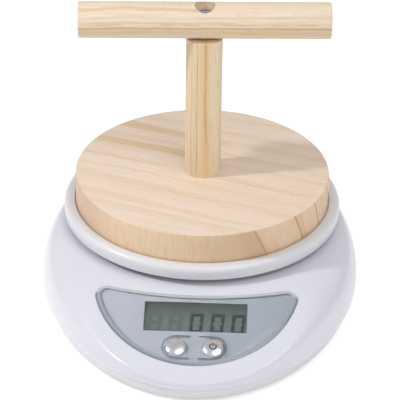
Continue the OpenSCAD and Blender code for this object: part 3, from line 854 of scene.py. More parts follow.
@dataclass(frozen=True)
class CircuitBoard(Finish):
    """Green solder mask with copper tracks under it and tinned pads.

    Attributes:
        mask: Colour of the bare mask.
        track: Colour of the mask over copper.
    """

    TIN = (0.7, 0.7, 0.68)

    mask: Colour
    track: Colour

    def paint(self, graph: Graph) -> None:
        """Paints tracks as cell borders, and pads as cell centres.

        Args:
            graph: The material under construction.
        """
        at = graph.place(turn=(SlopingFront.slope, 0, 0), unit=MM)
        lines = graph.texture("Voronoi", at, 0.35, distance="CHEBYCHEV", feature="F2")
        copper = graph.within(lines.outputs["Distance"], 0.55, 0.68, 0.01)
        pads = graph.texture("Voronoi", at, 0.3)
        tin = graph.fade(pads.outputs["Distance"], 0.17, 0.15)
        colour = graph.blend(copper, self.mask, self.track)
        graph.set(
            Base_Color=graph.blend(tin, colour, self.TIN),
            Metallic=graph.product(tin, 0.9),
            Roughness=graph.drift(copper, 0.1, 0.3),
        )
        graph.bump(graph.sum("ADD", copper, tin), 0.04)


@dataclass(frozen=True)
class BatteryWrap(Finish):
    """A plain shrink wrap with a coloured end, as on an unlabelled cell.

    Attributes:
        colour: Colour of the wrap.
        band: Colour of the band.
        band_from: Where the band starts along X, in millimetres.
        band_to: Where the band ends along X, in millimetres.
    """

    colour: Colour
    band: Colour
    band_from: float
    band_to: float

    def paint(self, graph: Graph) -> None:
        """Paints the wrap and its band, with fine lengthwise marks in its gloss and relief.

        Args:
            graph: The material under construction.
        """
        at = graph.place(unit=MM)
        aside, _, _ = graph.split(at)
        band = graph.within(aside, self.band_from, self.band_to, 0.1)
        fine = graph.noise(graph.stretch(at, (0.4, 4, 4)), 1, 2)
        graph.set(
            Base_Color=graph.blend(band, self.colour, self.band),
            Metallic=0.3,
            Roughness=graph.drift(fine, 0.12, 0.25),
        )
        graph.bump(fine, 0.01)


# Shaping


def put(name: str, data: bpy.types.ID) -> bpy.types.Object:
    """Puts a new object into the scene.

    Args:
        name: Its name.
        data: Its mesh, lamp or camera.

    Returns:
        The object.
    """
    item = bpy.data.objects.new(name, data)
    bpy.context.scene.collection.objects.link(item)
    return item


class Workpiece:
    """A bmesh in millimetres that is shaped by operators and ends as one piece."""

    SLOTS = 4
    MERGE_WITHIN = 1e-4

    def __init__(self) -> None:
        """Starts with an empty bmesh."""
        self.bm = bmesh.new()

    def spin(self, profile: Sequence[Point2], steps: int = 128) -> "Workpiece":
        """Turns a profile about the Z axis.

        Args:
            profile: Radius and height of each point, from the axis back to the axis, or a
                closed profile clear of the axis whose last point repeats the first.
            steps: Steps of a full turn.

        Returns:
            The workpiece.
        """
        closed = profile[0] == profile[-1]
        points = profile[:-1] if closed else profile
        verts = [self.bm.verts.new((radius, 0, height)) for radius, height in points]
        pairs = list(zip(verts, verts[1:]))
        if closed:
            pairs.append((verts[-1], verts[0]))
        edges = [self.bm.edges.new(pair) for pair in pairs]
        bmesh.ops.spin(
            self.bm,
            geom=verts + edges,
            cent=(0, 0, 0),
            axis=(0, 0, 1),
            angle=FULL_TURN,
            steps=steps,
            use_merge=True,
        )
        return self.close()

    def prism(self, outline: Sequence[Point2], low: float, high: float) -> "Workpiece":
        """Raises an outline to a closed solid.

        Args:
            outline: Points of the outline.
            low: Height of its underside.
            high: Height of its top.

        Returns:
            The workpiece.
        """
        face = self.bm.faces.new([self.bm.verts.new((x, y, low)) for x, y in outline])
        made = bmesh.ops.extrude_face_region(self.bm, geom=[face])["geom"]
        raised = [g for g in made if isinstance(g, bmesh.types.BMVert)]
        bmesh.ops.translate(self.bm, verts=raised, vec=(0, 0, high - low))
        return self.close()

    def block(
        self, low: Sequence[float], high: Sequence[float], bevel: float = 0.0
    ) -> "Workpiece":
        """Adds a box, with softened edges if asked.

        Args:
            low: Lowest corner.
            high: Highest corner.
            bevel: Size of the softened edges.

        Returns:
            The workpiece.
        """
        verts = bmesh.ops.create_cube(self.bm, size=1)["verts"]
        size = Vector(high) - Vector(low)
        bmesh.ops.scale(self.bm, verts=verts, vec=size)
        bmesh.ops.translate(self.bm, verts=verts, vec=(Vector(high) + Vector(low)) / 2)
        if bevel > 0:
            edges = list({e for v in verts for e in v.link_edges})
            self.soften(edges, bevel)
        return self

    def rod(
        self, radius: float, low: float, high: float, at: Point2 = (0, 0), sides: int = 48
    ) -> "Workpiece":
        """Adds an upright cylinder.

        Args:
            radius: Its radius.
            low: Height of its underside.
            high: Height of its top.
            at: Place of its axis.
            sides: Number of its sides.

        Returns:
            The workpiece.
        """
        verts = bmesh.ops.create_cone(
            self.bm, cap_ends=True, segments=sides, radius1=radius, radius2=radius, depth=high - low
        )["verts"]
        bmesh.ops.translate(self.bm, verts=verts, vec=(*at, (low + high) / 2))
        return self

    def loft(self, rings: Sequence[Sequence[Vector]]) -> "Workpiece":
        """Skins a row of equal rings and caps the first and the last.

        Args:
            rings: The rings, each with the same number of points.

        Returns:
            The workpiece.
        """
        order = self.bm.verts.layers.int.new("order")
        count = len(rings[0])
        verts = bmesh.ops.create_circle(self.bm, cap_ends=True, segments=count, radius=1)["verts"]
        for index, vert in enumerate(verts):
            vert[order] = index
            vert.co = rings[0][index]
        edges = list({e for v in verts for e in v.link_edges})
        for ring in rings[1:]:
            made = bmesh.ops.extrude_edge_only(self.bm, edges=edges)["geom"]
            fresh = {g for g in made if isinstance(g, bmesh.types.BMVert)}
            for vert in fresh:
                vert.co = ring[vert[order]]
            sides = [g for g in made if isinstance(g, bmesh.types.BMEdge)]
            edges = [edge for edge in sides if set(edge.verts) <= fresh]
        bmesh.ops.edgeloop_fill(self.bm, edges=edges)
        return self.close()

    def soften(self, edges: Sequence[bmesh.types.BMEdge], size: float) -> "Workpiece":
        """Rounds edges off.

        Args:
            edges: The edges.
            size: Size of the rounding.

        Returns:
            The workpiece.
        """
        bmesh.ops.bevel(
            self.bm,
            geom=list(edges),
            offset=size,
            offset_type="OFFSET",
            affect="EDGES",
            segments=3,
            profile=0.5,
            material=-1,
            clamp_overlap=True,
        )
        return self

    def move(self, matrix: Matrix) -> "Workpiece":
        """Places the whole workpiece by a matrix."""
        bmesh.ops.transform(self.bm, matrix=matrix, verts=self.bm.verts)
        return self

    def colour_faces(
        self, index: int, test: Callable[[bmesh.types.BMFace], bool] = lambda face: True
    ) -> "Workpiece":
        """Gives faces another of the piece's finishes.

        Args:
            index: Number of the finish.
            test: Says whether a face is meant.

        Returns:
            The workpiece.
        """
        for face in self.bm.faces:
            if test(face):
                face.material_index = index
        return self

    def close(self) -> "Workpiece":
        """Merges doubles and turns all faces outwards.

        Returns:
            The workpiece.
        """
        bmesh.ops.remove_doubles(self.bm, verts=self.bm.verts, dist=self.MERGE_WITHIN)
        bmesh.ops.recalc_face_normals(self.bm, faces=self.bm.faces)
        return self

    def cut(self, tool: "Workpiece", how: Cut = Cut.CARVE) -> "Workpiece":
        """Carves, joins or trims with another workpiece, which is used up.

        Args:
            tool: The other workpiece.
            how: What is done with it.

        Returns:
            The workpiece.
        """
        body, other = self.stand_in("body"), tool.stand_in("tool")
        modifier = body.modifiers.new("cut", "BOOLEAN")
        modifier.object = other
        modifier.operation = how.value
        modifier.solver = "EXACT"
        view = bpy.context.evaluated_depsgraph_get()
        result = bpy.data.meshes.new_from_object(body.evaluated_get(view))
        self.bm.clear()
        self.bm.from_mesh(result)
        for mesh in (body.data, other.data, result):
            bpy.data.meshes.remove(mesh)
        tool.bm.free()
        return self

    def take_in(self, other: "Workpiece") -> "Workpiece":
        """Adds another workpiece as it is, which is used up.

        Args:
            other: The other workpiece.

        Returns:
            The workpiece.
        """
        passing = other.mesh("passing")
        self.bm.from_mesh(passing)
        bpy.data.meshes.remove(passing)
        other.bm.free()
        return self

    def mesh(self, name: str) -> bpy.types.Mesh:
        """A new mesh of this workpiece's form.

        Args:
            name: Its name.

        Returns:
            The mesh.
        """
        mesh = bpy.data.meshes.new(name)
        self.bm.to_mesh(mesh)
        return mesh

    def stand_in(self, name: str) -> bpy.types.Object:
        """A passing object of this workpiece's form, with slots for its faces' finishes.

        Args:
            name: Name of the object.

        Returns:
            The object.
        """
        mesh = self.mesh(name)
        for _ in range(self.SLOTS):
            mesh.materials.append(None)
        return put(name, mesh)

    def finish(
        self,
        name: str,
        finishes: Sequence[Finish],
        body: Body,
        replaces: Sequence[str] = (),
        sharp: float = SHARP_ANGLE,
    ) -> None:
        """Turns the workpiece into a piece of the object.

        Args:
            name: Name of the piece.
            finishes: Its finishes, the main one first.
            body: The body that it moves with.
            replaces: The CAD nodes that it stands for.
            sharp: Angle above which an edge stays crisp.
        """
        bmesh.ops.scale(self.bm, verts=self.bm.verts, vec=(MM, MM, MM))
        mesh = self.mesh(name)
        self.bm.free()
        mesh.polygons.foreach_set("use_smooth", [True] * len(mesh.polygons))
        mesh.set_sharp_from_angle(angle=sharp)
        for finish in finishes:
            mesh.materials.append(finish.material())
        piece = put(name, mesh)
        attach(piece, body.value)
        if replaces:
            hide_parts(*replaces)
        LOG.info("%s: %d faces on %s", name, len(mesh.polygons), body.value)


def arc(centre: Point2, radius: float, start: float, end: float, steps: int) -> list[Point2]:
    """Points along an arc, the last one left to the next arc.

    Args:
        centre: Centre of the arc.
        radius: Its radius.
        start: Angle of its first point, in degrees.
        end: Angle of its end, in degrees.
        steps: Number of points.

    Returns:
        The points.
    """
    angles = [math.radians(start + (end - start) * i / steps) for i in range(steps)]
    return [(centre[0] + radius * math.cos(a), centre[1] + radius * math.sin(a)) for a in angles]


def eased_edge(
    radius: float, height: float, soft: float, upper: bool, form: Sequence[Point2]
) -> list[Point2]:
    """The profile of a softened edge, from the flat face round to the side.

    Args:
        radius: Radius of the side.
        height: Height of the flat face.
        soft: Size of the softening.
        upper: Whether the face looks up.
        form: How far each point lies inside the side and the face, as shares of the size.

    Returns:
        The points.
    """
    down = soft if upper else -soft
    return [(radius - soft * inside, height - down * below) for inside, below in form]


@lru_cache(maxsize=None)
def box_mm(node: str) -> tuple[Vector, Vector]:
    """The lowest and highest corner of a CAD node, in millimetres."""
    low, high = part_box(node)
    return low / MM, high / MM


def middle(node: str) -> Vector:
    """The middle of a CAD node's box, in millimetres."""
    low, high = box_mm(node)
    return (low + high) / 2


def size_mm(node: str) -> Point3:
    """The size of a CAD node's box, in millimetres."""
    return tuple(high - low for low, high in zip(*box_mm(node)))


# Finishes

SHELL_WHITE = Plastic(
    "shell_white", "shell_plastic", (0.735, 0.74, 0.81), roughness=0.31, gloss_drift=0.05,
    skin_size=1.2, skin_depth=0.002, mottle=0.012, coat=0.35,
)
COVER_WHITE = Plastic(
    "cover_white", "cover_plastic", (0.79, 0.79, 0.82), roughness=0.42,
    skin_size=0.7, skin_depth=0.006, mottle=0.015,
)
PAN_WHITE = Plastic(
    "pan_white", "pan_plastic", (0.745, 0.745, 0.775), roughness=0.36,
    skin_size=0.9, skin_depth=0.003, mottle=0.012, coat=0.15,
)
SUPPORT_PLASTIC = Plastic(
    "support_plastic", "support_plastic", (0.7, 0.7, 0.72), 0.55, 0.08,
    skin_size=0.7, skin_depth=0.01,
)
DARK_PLASTIC = Plastic(
    "dark_plastic", "dark_plastic", (0.03, 0.03, 0.033), 0.45, 0.08, skin_size=0.5, skin_depth=0.006
)
CABLE_GREY = Plastic(
    "cable_grey", "cable_grey", (0.45, 0.45, 0.46), 0.5, 0.08, skin_size=0.6, skin_depth=0.006
)
WIRE_RED = Plastic("wire_red", "wire_red", (0.5, 0.03, 0.03), 0.4, 0.08, skin_size=0.4)
WIRE_BLACK = Plastic("wire_black", "wire_black", (0.02, 0.02, 0.02), 0.4, 0.08, skin_size=0.4)
DIGIT_INK = Plastic(
    "digit_ink", "dark_plastic", (0.009, 0.012, 0.013), 0.5, 0.05,
    skin_size=0.4, skin_depth=0.002, shine=0.1,
)
GHOST_INK = Plastic(
    "ghost_ink", "display_glass", (0.062, 0.088, 0.074), 0.45, 0.05,
    skin_size=0.4, skin_depth=0.002, shine=0.1,
)
# Painted shade in the grooves round the buttons.
GROOVE_SHADE = Plastic(
    "groove_shade", "clear_panel", (0.2, 0.25, 0.32), 0.4, 0.05, skin_size=0.4, skin_depth=0.002
)
CLEAR_PANEL = ClearPlastic("clear_panel", "clear_panel", (0.975, 0.985, 0.995))
# The clear panel's rim in three opaque tones: the second and third are lighter copies, painted
# highlights on the rim's upper part and on its faces that look up the slope.
PANEL_RIM, PANEL_EDGE, PANEL_BROW = (
    Plastic(
        name, "clear_panel", colour, roughness=0.16, gloss_drift=0.04,
        skin_size=2.0, skin_depth=0.001, mottle=0.08, coat=0.5,
    )
    for name, colour in (
        ("panel_rim", (0.235, 0.285, 0.335)), ("panel_edge_highlight", (0.35, 0.39, 0.44)),
        ("panel_brow_highlight", (0.5, 0.54, 0.6)),
    )
)
SCREW_STEEL = Metal("screw_steel", "screw_steel", (0.72, 0.72, 0.74), 0.28)
CONTACT_METAL = Metal("contact_metal", "contact_metal", (0.76, 0.74, 0.68), 0.3)
CELL_ALUMINIUM = Metal("cell_aluminium", "cell_aluminium", (0.8, 0.81, 0.82), 0.35, (0.05, 1, 1))
BUTTON_CHROME = Metal("button_chrome", "button_chrome", (0.86, 0.87, 0.91), 0.26, (1, 1, 1), 0.0004)
GAUGE_SILICONE = Rubber("gauge_silicone", "gauge_silicone", (0.8, 0.8, 0.76))
FOOT_RUBBER = Rubber("foot_rubber", "foot_rubber", (0.03, 0.03, 0.032))
CONTACT_RUBBER = Rubber("contact_rubber", "contact_rubber", (0.6, 0.25, 0.3), 0.6)
BOARD_GREEN = CircuitBoard("board_green", "circuit_board", (0.01, 0.13, 0.06), (0.03, 0.22, 0.09))


# Housing


@dataclass
class Oval:
    """The housing's outline seen from above, and the heights of its form.

    Attributes:
        length: Length, front to back.
        width: Width.
        pan_y: Place of the pan's axis behind the middle.
        pinch: Share by which the two ends are drawn in.
        steps: Points round the outline.
    """

    length: float = field(default_factory=lambda: size_mm("top_shell")[1])
    width: float = field(default_factory=lambda: size_mm("top_shell")[0])
    pan_y: float = field(default_factory=lambda: middle("pan").y)
    pinch: float = 0.05
    steps: int = 240

    def plan(self, turn: float) -> Vector:
        """The outline at an angle.

        Args:
            turn: Angle, in degrees, from the front and counterclockwise.

        Returns:
            The point.
        """
        a = math.radians(turn)
        side = self.width / 2 * math.sin(a) * (1 - self.pinch * math.cos(a) ** 2)
        return Vector((side, -self.length / 2 * math.cos(a)))

    def inset(self, turn: float, depth: float) -> Vector:
        """The outline at an angle in degrees, drawn in by a depth."""
        along = (self.plan(turn + 1) - self.plan(turn - 1)).normalized()
        return self.plan(turn) - depth * Vector((along.y, -along.x))

    def round_pan(self, turn: float, radius: float) -> Vector:
        """The point of a circle round the pan's axis that faces the outline at an angle."""
        centre = Vector((0, self.pan_y))
        return centre + radius * (self.plan(turn) - centre).normalized()

    def turns(self) -> list[float]:
        """The angles of the outline's points, in degrees."""
        return [360 * i / self.steps for i in range(self.steps)]

    def ring(self, depth: float, height: float) -> list[Vector]:
        """The drawn-in outline at one height."""
        return [Vector((*self.inset(t, depth), height)) for t in self.turns()]

    def pan_ring(self, radius: float, height: float) -> list[Vector]:
        """A circle round the pan's axis, matched to the outline's points."""
        return [Vector((*self.round_pan(t, radius), height)) for t in self.turns()]


@dataclass
class SlopingFront:
    """The plane of the display panel: x to the right, y up the slope, z out of it.

    Attributes:
        slope: Slope, in degrees.
        gap: Gap between the pan and the panel's upper edge, seen from above.
        height: Height of the panel's upper edge.
        origin: The middle of the panel's upper edge.
        matrix: The matrix from the plane's axes to the part's.
    """

    slope: float = 22.0
    gap: float = 6.2
    height: float = 36.0
    origin: Vector = field(init=False)
    matrix: Matrix = field(init=False)

    def __post_init__(self) -> None:
        """Works out the plane's place from the pan."""
        self.origin = Vector((0, box_mm("pan")[0].y - self.gap, self.height))
        tilt = Matrix.Rotation(math.radians(self.slope), 4, "X")
        self.matrix = Matrix.Translation(self.origin) @ tilt

    def height_at(self, y: float, depth: float) -> float:
        """Height of the plane, or of one that lies a depth below it, at a place along Y."""
        a = math.radians(self.slope)
        return self.origin.z + (y - self.origin.y) * math.tan(a) - depth / math.cos(a)


@dataclass
class PanelOutline:
    """A round lower edge, two round corners and a hollow upper edge.

    Attributes:
        radius: Radius of the lower edge.
        height: Distance from the upper to the lower edge.
        top_radius: Radius of the hollow upper edge.
        corner: Radius of the corners.
    """

    radius: float = 55.5
    height: float = 45.0
    top_radius: float = 233.0
    corner: float = 6.0

    def points(self, inset: float) -> list[Point2]:
        """The outline drawn in by a distance.

        Args:
            inset: The distance.

        Returns:
            Its points, counterclockwise from the left end of the lower edge.
        """
        rise = self.radius - self.height
        far, near = self.radius - self.corner, self.top_radius + self.corner
        between = self.top_radius - rise
        climb = (far * far - near * near + between * between) / (2 * between)
        side = math.sqrt(far * far - climb * climb)
        low = math.degrees(math.atan2(climb, side))
        high = math.degrees(math.atan2(between - climb, -side))
        corner = (side, rise + climb)
        mirrored = (-side, rise + climb)
        return (
            arc((0, rise), self.radius - inset, -180 - low, low, 96)
            + arc(corner, self.corner - inset, low, high, 16)
            + arc((0, self.top_radius), self.top_radius + inset, high - 180, -high, 36)
            + arc(mirrored, self.corner - inset, 180 - high, 180 - low, 16)
        )


@dataclass
class Window:
    """The display window and the two buttons on the sloping front.

    Attributes:
        width: Width of the window.
        height: Height of the window.
        drop: Distance of its middle below the panel's upper edge.
        button_radius: Radius of a button.
        button_pitch: Distance between the buttons.
        button_drop: Distance of the buttons below the panel's upper edge.
        button_play: Clearance round a button.
    """

    width: float = 54.9
    height: float = 18.7
    drop: float = 13.95
    button_radius: float = 5.45
    button_pitch: float = 19.8
    button_drop: float = 33.7
    button_play: float = 0.15

    @property
    def hole_radius(self) -> float:
        """Radius of the hole for a button."""
        return self.button_radius + self.button_play

    def button_places(self) -> tuple[Point2, Point2]:
        """The middles of the left and right button on the sloping front."""
        half = self.button_pitch / 2
        return (-half, -self.button_drop), (half, -self.button_drop)

    def opening(self, grow_x: float, grow_y: float, low: float, high: float) -> Workpiece:
        """A block through the window, larger than it by a margin.

        Args:
            grow_x: Margin over its whole width.
            grow_y: Margin over its whole height.
            low: Underside of the block.
            high: Top of the block.

        Returns:
            The block, on the sloping front.
        """
        half_x, half_y = (self.width + grow_x) / 2, (self.height + grow_y) / 2
        near, far = -self.drop - half_y, -self.drop + half_y
        return Workpiece().block((-half_x, near, low), (half_x, far, high))


@dataclass
class Housing:
    """The top shell and bottom cover of the oval housing.

    Attributes:
        oval: The outline.
        front: The sloping front.
        panel: Outline of the display panel.
        window: The window and the buttons.
        wall: Wall of the top shell.
        seam_height: Height of the seam.
        widest_height: Height at which the housing is widest.
        deck_height: Height of the deck under the pan.
        deck_margin: How far the deck's edge lies inside the pan's.
        power: Fullness of the shoulder.
        seam_inset: How far the seam is drawn in.
        bottom_inset: How far the foot of the cover is drawn in.
        facet_blend: Width of the soft edge round the sloping front.
        floor_low: Underside of the cover's floor.
        floor_thick: Thickness of that floor.
        panel_seat: Depth of the panel's seat.
        play: Clearance at the seam and round the panel.
        lap_wall: Wall of the lap at the seam.
        screw_head: Diameter of the heads of the housing's screws.
        screw_seat: Height of their seats above the floor.
        cell_head: Diameter of the heads of the load cell's screws.
        cell_seat: Height of their seats above the floor.
        shoulder_steps: Number of steps up the outer shoulder.
        crowding: Power by which rings crowd together at the foot of a curve.
    """

    SHELL = "top_shell_skin"

    oval: Oval
    front: SlopingFront
    panel: PanelOutline
    window: Window
    wall: float = 2.4
    seam_height: float = 9.0
    widest_height: float = 15.3
    deck_height: float = 38.3
    deck_margin: float = 4.3
    power: float = 2.9
    seam_inset: float = 2.7
    bottom_inset: float = 4.9
    facet_blend: float = 4.2
    floor_low: float = 2.4
    floor_thick: float = 2.2
    panel_seat: float = 1.2
    play: float = 0.2
    lap_wall: float = 1.3
    screw_head: float = 5.6
    screw_seat: float = 4.4
    cell_head: float = 7.0
    cell_seat: float = 2.4
    shoulder_steps: int = 36
    crowding: float = 1.6

    @property
    def cover_top(self) -> float:
        """Height of the floor's upper side."""
        return self.floor_low + self.floor_thick

    @property
    def deck_radius(self) -> float:
        """Radius of the deck."""
        return size_mm("pan")[0] / 2 - self.deck_margin

    def shoulder_ring(self, share: float, wall: float) -> list[Vector]:
        """A ring of the shoulder, from the widest height at 0 to the deck at 1.

        Args:
            share: How far up the shoulder it lies.
            wall: How far inside the outer skin it lies.

        Returns:
            The ring.
        """
        rise = (1 - (1 - share) ** self.power) ** (1 / self.power)
        dome = self.widest_height + (self.deck_height - wall - self.widest_height) * rise
        deck = self.deck_radius - wall / 2
        ring = []
        for turn in self.oval.turns():
            outer = self.oval.inset(turn, wall)
            inner = self.oval.round_pan(turn, deck)
            at = outer.lerp(inner, share)
            plane = self.front.height_at(at.y, wall)
            dip = max(self.facet_blend - abs(dome - plane), 0) ** 2 / (4 * self.facet_blend)
            ring.append(Vector((at.x, at.y, min(dome, plane) - dip)))
        return ring

    def build_shell(self) -> None:
        """Builds the glossy top shell, with the panel's seat, window and button holes."""
        oval, wall, seam = self.oval, self.wall, self.seam_height
        inner_steps, flank_steps = 12, 9
        lap_top, lip_soft = seam + 2.2, 0.3
        lip_low = seam + lip_soft
        climb = self.widest_height - lip_low
        under_deck = oval.pan_ring(self.deck_radius - 9, self.deck_height - wall)
        deck = oval.pan_ring(self.deck_radius - 8, self.deck_height)
        flank = []
        for step in range(1, flank_steps):
            u = step / flank_steps
            depth = self.seam_inset * (1 - u) ** self.crowding
            flank.append(oval.ring(depth, lip_low + climb * u))
        shell = Workpiece().loft(
            [under_deck]
            + self.shoulder(inner_steps, wall)[::-1]
            + [
                oval.ring(self.seam_inset + wall, lap_top),
                oval.ring(self.seam_inset + self.lap_wall, lap_top),
                oval.ring(self.seam_inset + self.lap_wall, seam),
                oval.ring(self.seam_inset + lip_soft, seam),
                oval.ring(self.seam_inset + 0.3 * lip_soft, seam + 0.3 * lip_soft),
                oval.ring(self.seam_inset, lip_low),
            ]
            + flank
            + self.shoulder(self.shoulder_steps, 0)
            + [deck]
        )
        seat = Workpiece().prism(self.panel.points(-self.play), -self.panel_seat, 8)
        shell.cut(seat.move(self.front.matrix))
        grow_x, grow_y = 2.4, 2.2
        window = self.window.opening(grow_x, grow_y, -wall - 3, 1)
        for place in self.window.button_places():
            window.rod(self.window.hole_radius, -wall - 4, 4, place)
        shell.cut(window.move(self.front.matrix))
        shell.cut(self.saddle_opening())
        shell.finish(self.SHELL, [SHELL_WHITE], Body.ROOT, ["top_shell"])

    def shoulder(self, steps: int, wall: float) -> list[list[Vector]]:
        """The rings from the widest height up to the deck, a wall inside the outer skin."""
        shares = [(step / steps) ** self.crowding for step in range(steps + 1)]
        return [self.shoulder_ring(share, wall) for share in shares]

    def saddle_opening(self) -> Workpiece:
        """The opening in the deck that the pan's support reaches through.

        Returns:
            A block that cuts it.
        """
        low, high = box_mm("support_screws")
        margin_x, margin_y, over = 4.5, 6.9, 2.0
        return Workpiece().block(
            (low.x - margin_x, low.y - margin_y, self.deck_height - self.wall - over),
            (high.x + margin_x, high.y + margin_y, self.deck_height + over),
        )

    def screw_places(self) -> list[Point2]:
        """The six housing screws: four under the deck and two beside the display.

        Returns:
            Their places seen from above.
        """
        inside, turn = 4.0, 47.3
        ring, angle = self.deck_radius - inside, math.radians(turn)
        half, reach = ring * math.cos(angle), ring * math.sin(angle)
        low, high = box_mm("housing_screws")
        head = self.screw_head / 2
        outer, front = high.x - head, low.y + head
        places = [(sx * half, self.oval.pan_y + sy * reach) for sx in (-1, 1) for sy in (-1, 1)]
        return places + [(-outer, front), (outer, front)]

    def build_cover(self, bay: "BatteryBay") -> None:
        """Builds the bottom cover, with recesses for screws and feet and the battery bay.

        Args:
            bay: The battery bay.
        """
        oval, low, top = self.oval, self.floor_low, self.cover_top
        lap = self.seam_inset + self.lap_wall + self.play
        tongue_top = self.seam_height + 1.9
        side_steps, side_low, side_rise, flare, bulge = 5, 3.6, 5.0, 1.5, 0.35
        side = []
        for step in range(side_steps + 1):
            u = step / side_steps
            depth = self.bottom_inset - 0.2 - flare * u - bulge * math.sin(math.pi * u)
            side.append(oval.ring(depth, side_low + side_rise * u))
        cover = Workpiece().loft(
            [
                oval.ring(self.bottom_inset + 6, low), oval.ring(self.bottom_inset + 1.2, low),
                oval.ring(self.bottom_inset + 0.65, low + 0.12),
                oval.ring(self.bottom_inset + 0.2, low + 0.5),
            ]
            + side
            + [
                oval.ring(self.seam_inset + 0.8, self.seam_height),
                oval.ring(lap, self.seam_height), oval.ring(lap, tongue_top),
                oval.ring(lap + 1.3, tongue_top), oval.ring(self.bottom_inset + 2.2, top + 1),
                oval.ring(self.bottom_inset + 3.2, top), oval.ring(self.bottom_inset + 6, top),
            ]
        )
        cover.cut(bay.walls(), Cut.JOIN)
        posts, tools = Workpiece(), Workpiece()
        post_radius, post_rise, head_play, foot_hole, foot_depth = 4.5, 9.4, 0.4, 5.05, 0.8
        for place in self.screw_places():
            posts.rod(post_radius, low + 0.5, top + post_rise, place)
            tools.rod(self.screw_head / 2 + head_play, low - 1, top + self.screw_seat, place)
        cell_low, cell_high = box_mm("cell_screws")
        head = self.cell_head / 2
        for x in (cell_low.x + head, cell_high.x - head):
            place = (x, middle("cell_screws").y)
            tools.rod(head + head_play, low - 1, top + self.cell_seat, place)
        for node in Feet.NODES:
            tools.rod(foot_hole, low - 1, low + foot_depth, middle(node).xy)
        cover.cut(posts, Cut.JOIN)
        cover.cut(tools)
        cover.cut(bay.hollow())
        cover.cut(bay.door_opening())
        cover.finish("bottom_cover_skin", [COVER_WHITE], Body.ROOT, ["bottom_cover"])


